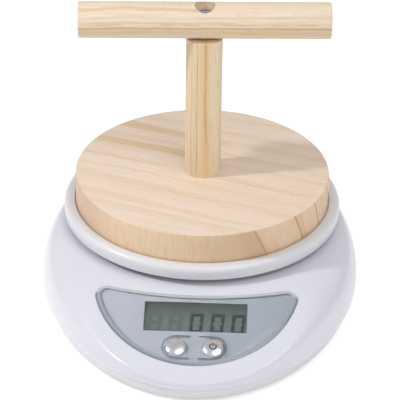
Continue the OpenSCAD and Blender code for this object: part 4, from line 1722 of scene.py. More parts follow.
@dataclass
class BatteryBay:
    """The battery bay under the housing, its door and the two cells.

    Attributes:
        floor_low: Underside of the cover's floor.
        floor_thick: Thickness of the floor and the door.
        diameter: Diameter of a battery.
        length: Length of the bay.
        play: Clearance of the batteries.
        wall: Wall of the bay.
        ledge: Ledge that the door closes on.
        roof: Roof of the bay.
        setback: Place of the bay's middle behind the middle of the oval.
        door_play: Clearance round the door.
        latch: Width, thickness and height of the door's latch.
    """

    floor_low: float = 2.4
    floor_thick: float = 2.2
    diameter: float = 14.5
    length: float = 58.0
    play: float = 1.0
    wall: float = 3.8
    ledge: float = 1.7
    roof: float = 1.6
    setback: float = 64.75
    door_play: float = 0.3
    latch: tuple[float, float, float] = (16.0, 1.0, 3.2)

    @property
    def top(self) -> float:
        """Height of the floor's upper side."""
        return self.floor_low + self.floor_thick

    @property
    def width(self) -> float:
        """Width of the bay along Y."""
        return 2 * self.diameter + 2 * self.play + 0.5

    @property
    def hinge_y(self) -> float:
        """Place of the door's hinge along Y."""
        return self.setback - self.width / 2 + 1

    def slab(self, length: float, width: float, low: float, high: float) -> Workpiece:
        """A block round the bay's middle, its length along X and its width along Y."""
        front, rear = self.setback - width / 2, self.setback + width / 2
        return Workpiece().block((-length / 2, front, low), (length / 2, rear, high))

    def walls(self) -> Workpiece:
        """The outside of the bay's walls.

        Returns:
            A block that joins them to the cover.
        """
        length, width = self.length + 2 * self.wall, self.width + 2 * self.wall
        roof = self.top + self.diameter + self.play + self.roof
        return self.slab(length, width, self.floor_low + 0.01, roof)

    def hollow(self) -> Workpiece:
        """The room for the batteries."""
        ceiling = self.top + self.diameter + self.play
        return self.slab(self.length, self.width, self.floor_low - 1, ceiling)

    def door_opening(self) -> Workpiece:
        """The opening that the door closes, with room for its hinge.

        Returns:
            A block that cuts it.
        """
        length, width = self.length + 2 * self.ledge, self.width + 2 * self.ledge
        tool = self.slab(length, width, self.floor_low - 1, self.top)
        half = self.length / 2 + self.ledge
        barrel = Workpiece().rod(self.floor_thick + 0.15, -half, half)
        return tool.cut(barrel.move(self.on_hinge()), Cut.JOIN)

    def on_hinge(self) -> Matrix:
        """The matrix that lays an upright rod on the hinge's axis."""
        return Matrix.Translation((0, self.hinge_y, self.top)) @ LAID_DOWN

    def build_door(self) -> None:
        """Builds the battery door with its barrel, pins, latch and finger notch."""
        half = self.length / 2 + self.ledge - self.door_play
        rear = self.setback + self.width / 2
        edge = rear + self.ledge - self.door_play
        corners = (-half, self.hinge_y, self.floor_low), (half, edge, self.top)
        door = Workpiece().block(*corners, 0.25)
        pin_radius, pin_reach = 1.2, 1.4
        for rod in (
            Workpiece().rod(self.floor_thick, -half, half),
            Workpiece().rod(pin_radius, -half - pin_reach, half + pin_reach),
        ):
            door.cut(rod.move(self.on_hinge()), Cut.JOIN)
        width, thick, rise = self.latch
        near, far = rear - 0.5 - thick, rear - 0.5
        latch = Workpiece().block(
            (-width / 2, near, self.top - 0.01), (width / 2, far, self.top + rise), 0.2
        )
        door.cut(latch, Cut.JOIN)
        notch_radius, notch_half, notch_depth = 9.6, 9.0, 1.0
        notch = Workpiece().rod(notch_radius, -notch_half, notch_half, sides=96)
        at = Matrix.Translation((0, rear - 3, self.floor_low + notch_depth - notch_radius))
        door.cut(notch.move(at @ LAID_DOWN))
        door.finish("battery_door_skin", [COVER_WHITE], Body.DOOR, ["battery_door"])

    def build_cell(self, node: str, turned: bool) -> None:
        """Builds one round cell with a crimped rim and a raised terminal.

        Args:
            node: The CAD node that it stands for.
            turned: True if its terminal points towards -X.
        """
        low, high = box_mm(node)
        length, radius = size_mm(node)[0], self.diameter / 2
        profile = [
            (0, 0), (radius - 1.2, 0), (radius - 0.5, 0.25), (radius, 0.6), (radius, length - 2.6),
            (radius - 0.35, length - 2.2), (radius - 0.1, length - 1.6),
            (radius - 0.9, length - 1.2), (3.1, length - 1.2), (2.7, length - 0.9),
            (2.7, length - 0.15), (2.5, length), (0, length),
        ]
        cell = Workpiece().spin(profile, 64)
        cell.colour_faces(1, lambda face: face.calc_center_median().xy.length < radius - 0.6)
        start, quarter = (high.x, -math.pi / 2) if turned else (low.x, math.pi / 2)
        along = Matrix.Rotation(quarter, 4, "Y")
        cell.move(Matrix.Translation((start, middle(node).y, middle(node).z)) @ along)
        band = (low.x - 1, low.x + 12) if turned else (high.x - 12, high.x + 1)
        black, copper = (0.06, 0.065, 0.075), (0.5, 0.28, 0.12)
        wrap = BatteryWrap(f"{node}_wrap", "battery_can", black, copper, *band)
        cell.finish(f"{node}_cell", [wrap, CONTACT_METAL], Body.ROOT, [node])


@dataclass
class Feet:
    """Four rubber feet in the bottom cover."""

    NODES = ("front_left_foot", "front_right_foot", "rear_left_foot", "rear_right_foot")

    def build(self) -> None:
        """Builds the four feet, each a ringed rubber disc."""
        for node in self.NODES:
            width, _, height = size_mm(node)
            radius = width / 2
            profile = [
                (0, 0.35), (2.0, 0.35), (2.35, 0), (2.9, 0), (3.2, 0.3), (3.5, 0.3), (3.8, 0),
                (radius - 0.4, 0), (radius - 0.1, 0.12), (radius, 0.4), (radius, height - 0.4),
                (radius - 0.4, height), (0, height),
            ]
            at = middle(node)
            at.z = box_mm(node)[0].z
            foot = Workpiece().spin(profile, 72).move(Matrix.Translation(at))
            foot.finish(f"{node}_rubber", [FOOT_RUBBER], Body.ROOT, [node])


# Display and buttons


@dataclass
class Display:
    """The clear panel, its silver print, the display glass, its digits and the buttons.

    Attributes:
        front: The sloping front.
        panel: Outline of the panel.
        window: The window and the buttons.
        seat: Depth of the panel's seat.
        film: Thickness of the print.
        thick: Thickness of the clear panel.
        rim: Width of the sloping rim round the panel.
        groove_depth: Depth of the grooves round the buttons.
        groove_width: Width of those grooves.
        glass_top: Height of the display glass over the sloping front, so less than 0.
        glass_thick: Thickness of the glass.
        glass_width: Width of the glass.
        glass_height: Its size up the slope.
        digit_height: Height of a digit.
        digit_width: Width of a digit.
        digit_pitch: Distance from digit to digit.
        stroke: Width of a digit's bars.
        dome_rise: Height of a button's crest over the panel's face.
    """

    CLEAR, GROOVE, RIM, EDGE, BROW = range(5)
    PANEL_LOOKS = (CLEAR_PANEL, GROOVE_SHADE, PANEL_RIM, PANEL_EDGE, PANEL_BROW)

    front: SlopingFront
    panel: PanelOutline
    window: Window
    seat: float = 1.2
    film: float = 0.2
    thick: float = 1.6
    rim: float = 2.2
    groove_depth: float = 0.3
    groove_width: float = 0.45
    glass_top: float = -2.6
    glass_thick: float = 2.2
    glass_width: float = 66.0
    glass_height: float = 23.0
    digit_height: float = 12.6
    digit_width: float = 7.2
    digit_pitch: float = 11.1
    stroke: float = 1.95
    dome_rise: float = 1.5

    @property
    def panel_top(self) -> float:
        """Height of the panel's face over the sloping front."""
        return self.film + self.thick - self.seat

    def build_panel(self) -> None:
        """Builds the clear panel with a sloping rim, button holes and two open grooves."""
        edge_share, bulge = 0.6, 0.06
        low = self.film - self.seat
        edge = low + self.thick * edge_share
        mid = (edge + self.panel_top) / 2 + bulge
        sheet = Workpiece()
        outline = [sheet.bm.verts.new((x, y, low)) for x, y in self.panel.points(0)]
        face = sheet.bm.faces.new(outline)
        for inset, height in ((0.0, edge), (self.rim / 2, mid), (self.rim, self.panel_top)):
            made = bmesh.ops.extrude_face_region(sheet.bm, geom=[face])["geom"]
            face = next(g for g in made if isinstance(g, bmesh.types.BMFace))
            for loop, (x, y) in zip(face.loops, self.panel.points(inset)):
                loop.vert.co = (x, y, height)
        sheet.close()
        for place, side in zip(self.window.button_places(), (1, -1)):
            sheet.cut(Workpiece().rod(self.window.hole_radius, -4, 4, place, 72))
            sheet.cut(self.groove(place, side))
        # Painted highlights: the upper part of the sloping rim gets a lighter tone, and rim faces
        # that look up the slope a lighter one still.
        slopes = (self.RIM, self.EDGE)
        for look, test in (
            (self.RIM, lambda f: f.material_index == self.CLEAR and 0.2 < f.normal.z < 0.995),
            (self.EDGE, lambda f: f.material_index == self.RIM and f.calc_center_median().z > mid),
            (self.BROW, lambda f: f.material_index in slopes and f.normal.y > 0.1),
        ):
            sheet.colour_faces(look, test)
        sheet.move(self.front.matrix)
        sheet.finish("clear_panel", self.PANEL_LOOKS, Body.ROOT, ["front_panel"])

    def groove(self, place: Point2, side: int) -> Workpiece:
        """A round groove with two straight ends towards the other button.

        Args:
            place: Middle of the button.
            side: 1 if the other button lies towards +X, otherwise -1.

        Returns:
            The block that cuts the groove, its faces marked for the second finish, a painted shade.
        """
        clear, tail = 1.5, 7.6
        radius, half = self.window.button_radius + clear, self.groove_width / 2
        wide, tight = radius + half, radius - half
        outline = arc((0, 0), wide, 90, 270, 40)
        outline += [(0, -wide), (tail, -wide), (tail, -tight), (0, -tight)]
        outline += arc((0, 0), tight, 270, 90, 40)
        outline += [(0, tight), (tail, tight), (tail, wide)]
        top = self.panel_top
        groove = Workpiece().prism(outline, top - self.groove_depth, top + 1)
        if side < 0:
            groove.move(Matrix.Rotation(math.pi, 4, "Z"))
        return groove.move(Matrix.Translation((*place, 0))).colour_faces(self.GROOVE)

    def build_print(self) -> None:
        """Builds the silver print behind the panel, open at the window and the buttons."""
        outline, clear = self.panel.points(self.rim), 0.02
        sheet = Workpiece().prism(outline, -self.seat, self.film - self.seat - clear)
        holes = self.window.opening(0, 0, -3, 2)
        for place in self.window.button_places():
            holes.rod(self.window.hole_radius, -3, 2, place)
        sheet.cut(holes).move(self.front.matrix)
        # The second colour is the print under painted shade, for its right side.
        silver, shaded_silver = (0.375, 0.38, 0.425), (0.265, 0.285, 0.31)
        ink = SilverFilm("silver_print", "silver_print", silver, shaded_silver, self.panel.radius)
        sheet.finish("panel_print_film", [ink], Body.ROOT, ["panel_print"])

    def build_glass(self) -> None:
        """Builds the display glass with softened edges."""
        half_x, half_y, drop = self.glass_width / 2, self.glass_height / 2, self.window.drop
        near, far, low = -drop - half_y, -drop + half_y, self.glass_top - self.glass_thick
        glass = Workpiece().block((-half_x, near, low), (half_x, far, self.glass_top), 0.3)
        glass.move(self.front.matrix)
        ends = [(self.front.matrix @ Vector((0, v, 0))).y for v in (far, near)]
        look = DisplayGlass("display_glass", "display_glass", (0.085, 0.112, 0.097), *ends)
        glass.finish("display_glass_plate", [look], Body.ROOT, ["lcd_glass"])

    def digit(self, left: float, base: float, lit: str) -> Workpiece:
        """A seven-segment digit as thin raised bars.

        Args:
            left: Left edge of the digit.
            base: Lower edge of the digit.
            lit: Letters of the segments that show, a to g.

        Returns:
            The digit, flat on the plane z = 0.
        """
        wide, tall, bar = self.digit_width, self.digit_height, self.stroke
        gap, cut, lean, thick = 0.12, 0.45, 0.08, 0.03
        half, thin, right, up = tall / 2, bar / 2, wide - bar, tall - bar
        over, under = half + gap, half - gap
        bars = {
            "a": [(gap, tall), (wide - gap, tall), (right - gap, up), (bar + gap, up)],
            "b": [(wide, tall - gap), (wide, over), (wide - cut, over), (right, over + cut)]
            + [(right, up - gap)],
            "c": [(wide, under), (wide, gap), (right, bar + gap), (right, under - cut)]
            + [(wide - cut, under)],
            "d": [(gap, 0), (bar + gap, bar), (right - gap, bar), (wide - gap, 0)],
            "e": [(0, under), (cut, under), (bar, under - cut), (bar, bar + gap), (0, gap)],
            "f": [(0, tall - gap), (bar, up - gap), (bar, over + cut), (cut, over), (0, over)],
            "g": [(cut + gap, half), (bar, half + thin), (right, half + thin)]
            + [(wide - cut - gap, half), (right, half - thin), (bar, half - thin)],
        }
        digit = Workpiece()
        for name in lit:
            outline = [(left + x + lean * y, base + y) for x, y in bars[name]]
            digit.prism(outline, 0, thick)
        return digit

    def build_digits(self) -> None:
        """Builds three zeros on the right and two faint figures on the left, all plain."""
        margin, sink, clear = 1.6, 0.4, 0.005
        right = self.window.width / 2 - margin - self.digit_width
        base = -self.window.drop - self.window.height / 2 - sink
        lift = Matrix.Translation((0, 0, self.glass_top + clear))
        figures = [("abcdef", DIGIT_INK)] * 3 + [("abcdefg", GHOST_INK)] * 2
        for row, (lit, ink) in enumerate(figures):
            digit = self.digit(right - row * self.digit_pitch, base, lit)
            digit.move(self.front.matrix @ lift)
            digit.finish(f"display_figure_{row + 1}", [ink], Body.ROOT)

    def build_button(self, node: str, place: Point2, body: Body) -> None:
        """Builds a domed, plated push button with its flange and pin.

        Args:
            node: The CAD node that it stands for.
            place: Its middle on the sloping front.
            body: The body that it moves with.
        """
        radius, top, rise = self.window.button_radius, self.panel_top, self.dome_rise
        edge, foot, pin = 0.3, -4.1, 2.4
        flange, flange_top, flange_thick = radius + 0.6, -2.45, 1.0
        dome = (radius * radius + (rise - edge) ** 2) / (2 * (rise - edge))
        limit, steps = math.asin(radius / dome), 12
        turns = [limit * (1 - i / steps) for i in range(steps + 1)]
        cap = [(dome * math.sin(a), top + rise - dome + dome * math.cos(a)) for a in turns]
        profile = [
            (0, foot), (pin, foot), (pin, flange_top - flange_thick),
            (flange, flange_top - flange_thick), (flange, flange_top), (radius, flange_top),
            (radius, top + edge - 0.5), (radius - 0.02, top + edge - 0.16),
            (radius - 0.22, top + edge + 0.05), *cap[2:-1], (0, top + rise),
        ]
        button = Workpiece().spin(profile, 72)
        button.move(self.front.matrix @ Matrix.Translation((*place, 0)))
        button.finish(f"{node}_cap", [BUTTON_CHROME], body, [node], math.radians(50))

    def build_symbol(self, place: Point2) -> None:
        """Builds the plain power symbol, an open ring and a stroke, printed on a button's dome.

        Args:
            place: The button's middle on the sloping front.
        """
        radius, half, dome, thick = 1.75, 0.3, 12.98, 0.012
        crest = self.panel_top + self.dome_rise
        low, high, top = crest - 0.5, crest + 0.5, crest + thick
        ring = arc((0, 0), radius + half, 125, 415, 40)
        ring += reversed(arc((0, 0), radius - half, 125, 415, 40))
        symbol = Workpiece().prism(ring, low, high)
        symbol.block((-half, 0.3, low), (half, radius + 0.5, high))
        turns = [math.radians(a) for a in (12, 9, 6, 3)]
        cap = [(dome * math.sin(a), top - dome * (1 - math.cos(a))) for a in turns]
        foot = crest - 0.3
        skin = Workpiece().spin([(0, foot), (cap[0][0], foot), *cap, (0, top)], 48)
        symbol.cut(skin, Cut.KEEP_COMMON)
        symbol.move(self.front.matrix @ Matrix.Translation((*place, 0)))
        symbol.finish("power_symbol", [DIGIT_INK], Body.POWER_KEY)


# Pan and stand


@dataclass
class Pan:
    """The round pan with a rolled rim and a turned-down skirt.

    Attributes:
        thick: Thickness of its floor.
        rim_rise: Height of the rim's crest above the floor.
        rim_width: Width of the rim.
        rim_round: Radius of the rim's outer edge.
        skirt_height: Height of the skirt below the crest.
        skirt_thick: Thickness of the skirt.
    """

    thick: float = 2.4
    rim_rise: float = 1.2
    rim_width: float = 6.0
    rim_round: float = 3.0
    skirt_height: float = 7.4
    skirt_thick: float = 2.0

    def build(self) -> None:
        """Builds the pan, turned about its axis."""
        radius, crest = size_mm("pan")[0] / 2, box_mm("pan")[1].z
        floor = crest - self.rim_rise
        under = floor - self.thick
        recess, turn = radius - self.rim_width, self.rim_round
        outer = arc((radius - turn, crest - turn), turn, 0, 90, 12) + [(radius - turn, crest)]
        foot = crest - self.skirt_height
        inner = radius - self.skirt_thick
        profile = [
            (0, floor), (recess - 0.35, floor), (recess, floor + 0.35), (recess, crest - 0.5),
            (recess + 0.17, crest - 0.15), (recess + 0.6, crest), *reversed(outer),
            (radius, foot + 0.5), (radius - 0.2, foot + 0.12), (radius - 0.6, foot),
            (inner + 0.3, foot), (inner, foot + 0.3), (inner, under - 1.2),
            (inner - 0.4, under - 0.3), (inner - 1.3, under), (0, under),
        ]
        pan = Workpiece().spin(profile, 192)
        pan.move(Matrix.Translation((0, middle("pan").y, 0)))
        pan.finish("pan_dish", [PAN_WHITE], Body.PLATFORM, ["pan"])


@dataclass(frozen=True)
class PanScrew:
    """A pan-head screw with a cross recess.

    Attributes:
        head: Diameter of the head.
        rise: Height of the head.
        shank: Diameter of the shank.
        length: Length below the head.
    """

    head: float
    rise: float
    shank: float
    length: float

    def shape(self) -> Workpiece:
        """The screw, its head's seat at z = 0 and its point down.

        Returns:
            The workpiece.
        """
        radius, shank = self.head / 2, self.shank / 2
        ball, steps = self.head * 0.75, 8
        limit = math.asin(radius * 0.97 / ball)
        turns = [limit * (1 - i / steps) for i in range(steps)]
        crown = [(ball * math.sin(a), self.rise - ball + ball * math.cos(a)) for a in turns]
        thread = []
        pitch, root = self.shank * 0.4, shank * 0.82
        z = -0.6
        while z > -self.length + self.shank:
            thread += [(shank, z), (shank, z - pitch * 0.25), (root, z - pitch * 0.5)]
            z -= pitch
        profile = [
            (0, self.rise), *reversed(crown), (radius, crown[0][1] - 0.25), (radius, 0.1),
            (radius - 0.1, 0), (shank, 0), *thread, (shank * 0.2, -self.length), (0, -self.length),
        ]
        screw = Workpiece().spin(profile, 48)
        half, arm = self.head * 0.28, self.head * 0.065
        low, high = self.rise - self.rise * 0.55, self.rise + 1
        cross = Workpiece().block((-half, -arm, low), (half, arm, high))
        cross.cut(Workpiece().block((-arm, -half, low), (arm, half, high)), Cut.JOIN)
        return screw.cut(cross)


@dataclass
class ScrewSet:
    """Screws that share one CAD node and all point the same way.

    Attributes:
        node: The CAD node.
        screw: The kind of screw.
        places: The places of the heads' seats.
        frame: Turns the row of screws, which point down, the way that they really point.
        body: The body that they move with.
    """

    node: str
    screw: PanScrew
    places: Sequence[Sequence[float]]
    frame: Matrix
    body: Body

    def build(self) -> None:
        """Builds the screws as one piece."""
        whole = Workpiece()
        for place in self.places:
            whole.take_in(self.screw.shape().move(Matrix.Translation(place) @ self.frame))
        whole.finish(f"{self.node}_turned", [SCREW_STEEL], self.body, [self.node])


@dataclass
class PerchStand:
    """The wooden stand: a round board, a post and a bar, held by two screws.

    Attributes:
        turn: Turn of the stand on the pan, in degrees.
        chamfer: Softening of the wooden edges.
        bar_screw: The screw in the top of the bar.
        board_screw: The screw under the board.
        shank_hole: Radius of the hole for a screw's shank.
        head_hole: Radius of the hole for the screw's head in the bar.
        board_hole: Radius of the hole for the screw's head under the board.
        screw_forward: How far the bar's screw sits in front of the post's axis.
        head_sink: Depth of the screw's head under the board.
    """

    turn: float = 2.75
    chamfer: float = 0.8
    bar_screw: PanScrew = PanScrew(8.7, 3.0, 3.9, 32.0)
    board_screw: PanScrew = PanScrew(8.7, 3.0, 3.9, 38.0)
    shank_hole: float = 2.15
    head_hole: float = 5.6
    board_hole: float = 4.75
    screw_forward: float = 1.3
    head_sink: float = 4.2

    @property
    def axis(self) -> Matrix:
        """The matrix from the stand's own axes to the part's frame, at height 0."""
        at = middle("pan")
        return Matrix.Translation((0, at.y, 0)) @ Matrix.Rotation(math.radians(self.turn), 4, "Z")

    @property
    def bar_seat(self) -> float:
        """Height of the seat of the screw in the bar."""
        return box_mm("bar_screw")[1].z - self.bar_screw.rise

    def build_board(self, finish: Wood) -> None:
        """Builds the round board with softened edges and a hole for its screw.

        Args:
            finish: The wood.
        """
        low, high = (corner.z for corner in box_mm("perch_board"))
        radius, sink = size_mm("perch_board")[0] / 2, low + self.head_sink
        form = ((1, 0), (0.45, 0.12), (0.12, 0.45), (0, 1))
        profile = [
            (self.shank_hole, high), *eased_edge(radius, high, self.chamfer, True, form),
            *reversed(eased_edge(radius, low, self.chamfer, False, form)), (self.board_hole, low),
            (self.board_hole, sink), (self.shank_hole, sink), (self.shank_hole, high),
        ]
        board = Workpiece().spin(profile, 240).move(self.axis)
        board.finish("perch_board_wood", [finish], Body.STAND, ["perch_board"])

    def build_post(self, finish: Wood) -> None:
        """Builds the post, a dowel with crisp ends.

        Args:
            finish: The wood.
        """
        low, high = (corner.z for corner in box_mm("perch_post"))
        radius, soft, form = size_mm("perch_post")[0] / 2, 0.15, ((1, 0), (0, 1))
        profile = [
            (0, low), *eased_edge(radius, low, soft, False, form),
            *reversed(eased_edge(radius, high, soft, True, form)), (0, high),
        ]
        post = Workpiece().spin(profile, 96).move(self.axis)
        post.finish("perch_post_wood", [finish], Body.STAND, ["perch_post"])

    def build_bar(self, finish: Wood) -> None:
        """Builds the bar, a dowel with softened ends and a counterbore for the screw.

        Args:
            finish: The wood.
        """
        low, high = box_mm("perch_bar")
        width, _, height = size_mm("perch_bar")
        radius, axis_z = height / 2, (high.z + low.z) / 2
        a = math.radians(self.turn)
        half = (width - 2 * radius * math.sin(a)) / (2 * math.cos(a))
        form = ((1, 0), (0.4, 0.15), (0.1, 0.5), (0, 1))
        profile = [
            (0, -half), *eased_edge(radius, -half, self.chamfer, False, form),
            *reversed(eased_edge(radius, half, self.chamfer, True, form)), (0, half),
        ]
        bar = Workpiece().spin(profile, 96)
        bar.move(Matrix.Translation((0, 0, axis_z)) @ LAID_DOWN)
        place, top = (0, -self.screw_forward), axis_z + 2 * radius
        bar.cut(Workpiece().rod(self.head_hole, self.bar_seat, top, place, 64))
        bar.move(self.axis)
        bar.finish("perch_bar_wood", [finish], Body.STAND, ["perch_bar"])

    def build_screws(self) -> None:
        """Builds the screw in the top of the bar and the one under the board."""
        under = box_mm("board_screw")[0].z + self.board_screw.rise
        in_bar = Matrix.Translation((0, -self.screw_forward, self.bar_seat))
        in_board = Matrix.Translation((0, 0, under)) @ UPSIDE_DOWN
        for node, screw, place in (
            ("bar_screw", self.bar_screw, in_bar), ("board_screw", self.board_screw, in_board),
        ):
            ScrewSet(node, screw, [(0, 0, 0)], self.axis @ place, Body.STAND).build()


# Inner parts


@dataclass
class InnerParts:
    """The pieces inside the housing, which keep their CAD form and get a finish.

    Attributes:
        finishes: The finish of each CAD node.
    """

    finishes: dict[str, Finish] = field(
        default_factory=lambda: {
            "lcd_frame": DARK_PLASTIC,
            "lcd_connectors": CONTACT_RUBBER,
            "main_board": BOARD_GREEN,
            "controller": DARK_PLASTIC,
            "unit_switch": DARK_PLASTIC,
            "power_switch": DARK_PLASTIC,
            "unit_switch_stem": DARK_PLASTIC,
            "power_switch_stem": DARK_PLASTIC,
            "load_cell": CELL_ALUMINIUM,
            "gauge_covers": GAUGE_SILICONE,
            "support_screws": SCREW_STEEL,
            "platform_support": SUPPORT_PLASTIC,
            "battery_jumper": CONTACT_METAL,
            "battery_contacts": CONTACT_METAL,
            "gauge_cable": CABLE_GREY,
            "battery_wire_red": WIRE_RED,
            "battery_wire_black": WIRE_BLACK,
            "board_screws": SCREW_STEEL,
        }
    )

    def dress(self) -> None:
        """Gives each inner CAD node its finish."""
        for node, finish in self.finishes.items():
            piece = frame["nodes"][node]
            piece.data.materials.clear()
            piece.data.materials.append(finish.material())
            LOG.info("%s: finish %s", node, finish.name)


# Studio


@dataclass
class Camera:
    """A long lens in front of the scale, a little above it.

    Attributes:
        back: Distance in front of the pan's axis, in millimetres.
        above: Height above the board's top, in millimetres.
        around: Turn about the pan's axis, in degrees.
        aim: Further turn to the left, in degrees.
        pitch: Look down, in degrees.
        roll: Roll, in degrees.
        lens: Focal length, in millimetres.
    """

    back: float = 1133.7
    above: float = 649.2
    around: float = 1.46
    aim: float = 0.057
    pitch: float = 30.55
    roll: float = 0.86
    lens: float = 209.7

    def build(self) -> None:
        """Builds the scene's camera."""
        data = bpy.data.cameras.new("camera")
        data.lens = self.lens
        data.sensor_width = 36.0
        data.clip_start, data.clip_end = 0.05, 20.0
        item = put("camera", data)
        pivot = Vector((0, middle("pan").y, box_mm("perch_board")[1].z))
        around = Matrix.Rotation(math.radians(self.around), 3, "Z")
        away = around @ Vector((0, -self.back, self.above))
        turn = (
            Matrix.Rotation(math.radians(self.around + self.aim), 4, "Z")
            @ Matrix.Rotation(math.radians(90 - self.pitch), 4, "X")
            @ Matrix.Rotation(math.radians(self.roll), 4, "Z")
        )
        item.matrix_world = Matrix.Translation((pivot + away) * MM) @ turn
        bpy.context.scene.camera = item


@dataclass
class Lamp:
    """A soft area lamp that looks at a point.

    Attributes:
        name: Its name.
        place: Its place, in metres.
        size: Its width and height, in metres.
        power: Its power, in watts.
        colour: Its colour.
        target: The point that it looks at, in metres.
        lights: Whether it lights surfaces.
        shines: Whether it shows as a highlight on glossy surfaces.
        piece: The piece that its reach is about, or nothing for a lamp that reaches all.
        reach: Whether it reaches only that piece or all but it.
    """

    name: str
    place: tuple[float, float, float]
    size: tuple[float, float]
    power: float
    colour: Colour = (1.0, 1.0, 1.0)
    target: tuple[float, float, float] = (0.0, 0.0, 0.06)
    lights: bool = True
    shines: bool = True
    piece: str = ""
    reach: Reach = Reach.ONLY

    def build(self) -> None:
        """Builds the lamp object."""
        data = bpy.data.lights.new(self.name, "AREA")
        data.shape = "RECTANGLE"
        data.size, data.size_y = self.size
        data.energy = self.power
        data.color = self.colour
        item = put(self.name, data)
        item.visible_diffuse = item.visible_transmission = self.lights
        item.visible_glossy = self.shines
        if self.piece:
            reach = bpy.data.collections.new(self.name)
            reach.objects.link(bpy.data.objects[self.piece])
            reach.collection_objects[0].light_linking.link_state = self.reach.value
            item.light_linking.receiver_collection = reach
        look = Vector(self.target) - Vector(self.place)
        aim = look.to_track_quat("-Z", "Y").to_matrix().to_4x4()
        item.matrix_world = Matrix.Translation(self.place) @ aim


@dataclass
class Studio:
    """A pale floor, a white surround and soft lamps, one of them only for the shell's glint.

    Attributes:
        floor_half: Half the floor's width, in metres.
        surround: Strength of the surround's light.
        floor_lift: Light that the floor adds for the camera, so that it reads as white.
        edge_lift: What is added to that light far from the object.
        lamps: The lamps. The key has a second lamp in its place for the shell, which gets no
            highlight from it.
    """

    KEY = (-1.09, -0.23, 1.06)

    floor_half: float = 4.0
    surround: float = 0.47
    floor_lift: float = 0.38
    edge_lift: float = 0.5
    lamps: tuple[Lamp, ...] = (
        Lamp("key", KEY, (0.1, 0.1), 9.0, piece=Housing.SHELL, reach=Reach.ALL_BUT),
        Lamp("shell_key", KEY, (0.1, 0.1), 9.0, shines=False, piece=Housing.SHELL),
        Lamp("glint", (-0.94, -0.66, 0.96), (0.06, 0.6), 11.0, lights=False, piece=Housing.SHELL),
        Lamp("fill", (0.75, -0.87, 1.45), (1.3, 1.3), 12.0),
    )

    def build_floor(self) -> None:
        """Builds the floor, white to the camera and with the object's shadow on it."""
        made = bmesh.new()
        bmesh.ops.create_grid(made, x_segments=1, y_segments=1, size=self.floor_half)
        mesh = bpy.data.meshes.new("floor")
        made.to_mesh(mesh)
        made.free()
        graph = Graph("floor_white")
        graph.set(Base_Color=(0.92, 0.92, 0.92), Roughness=0.9, Specular_IOR_Level=0.1)
        rays = graph.add("ShaderNodeLightPath").outputs
        seen = graph.sum("MAXIMUM", rays["Is Camera Ray"], rays["Is Glossy Ray"])
        aside, back, _ = graph.split(graph.place())
        square = graph.sum("ADD", graph.sum("POWER", aside, 2), graph.sum("POWER", back, 2))
        away = graph.fade(graph.sum("SQRT", square), 0.4, 1.6)
        glow = graph.add("ShaderNodeEmission")
        lift = graph.drift(away, self.edge_lift, self.floor_lift)
        graph.join(graph.product(seen, lift), glow.inputs["Strength"])
        both = graph.add("ShaderNodeAddShader")
        graph.join(graph.shader.outputs["BSDF"], both.inputs[0])
        graph.join(glow.outputs[0], both.inputs[1])
        below = graph.add("ShaderNodeNewGeometry").outputs["Backfacing"]
        clear = graph.add("ShaderNodeBsdfTransparent").outputs[0]
        graph.show(graph.choose(below, both.outputs[0], clear))
        mesh.materials.append(graph.material)
        item = put("floor", mesh)

    def build_surround(self) -> None:
        """Builds the white surround, plain in the picture and softer as light."""
        world = bpy.data.worlds.new("surround")
        bpy.context.scene.world = world
        tree = NodeTree(world)
        rays = tree.add("ShaderNodeLightPath").outputs
        seen = tree.sum("MAXIMUM", rays["Is Camera Ray"], rays["Is Transmission Ray"])
        light = tree.add("ShaderNodeBackground")
        tree.join((1, 1, 1), light.inputs["Color"])
        level = tree.drift(seen, 1.0 - self.surround, self.surround)
        tree.join(level, light.inputs["Strength"])
        out = tree.add("ShaderNodeOutputWorld")
        tree.join(light.outputs[0], out.inputs["Surface"])

    def build(self) -> None:
        """Builds the floor, the surround and the lamps."""
        self.build_floor()
        self.build_surround()
        for lamp in self.lamps:
            lamp.build()
        bpy.context.scene.view_settings.view_transform = "Standard"


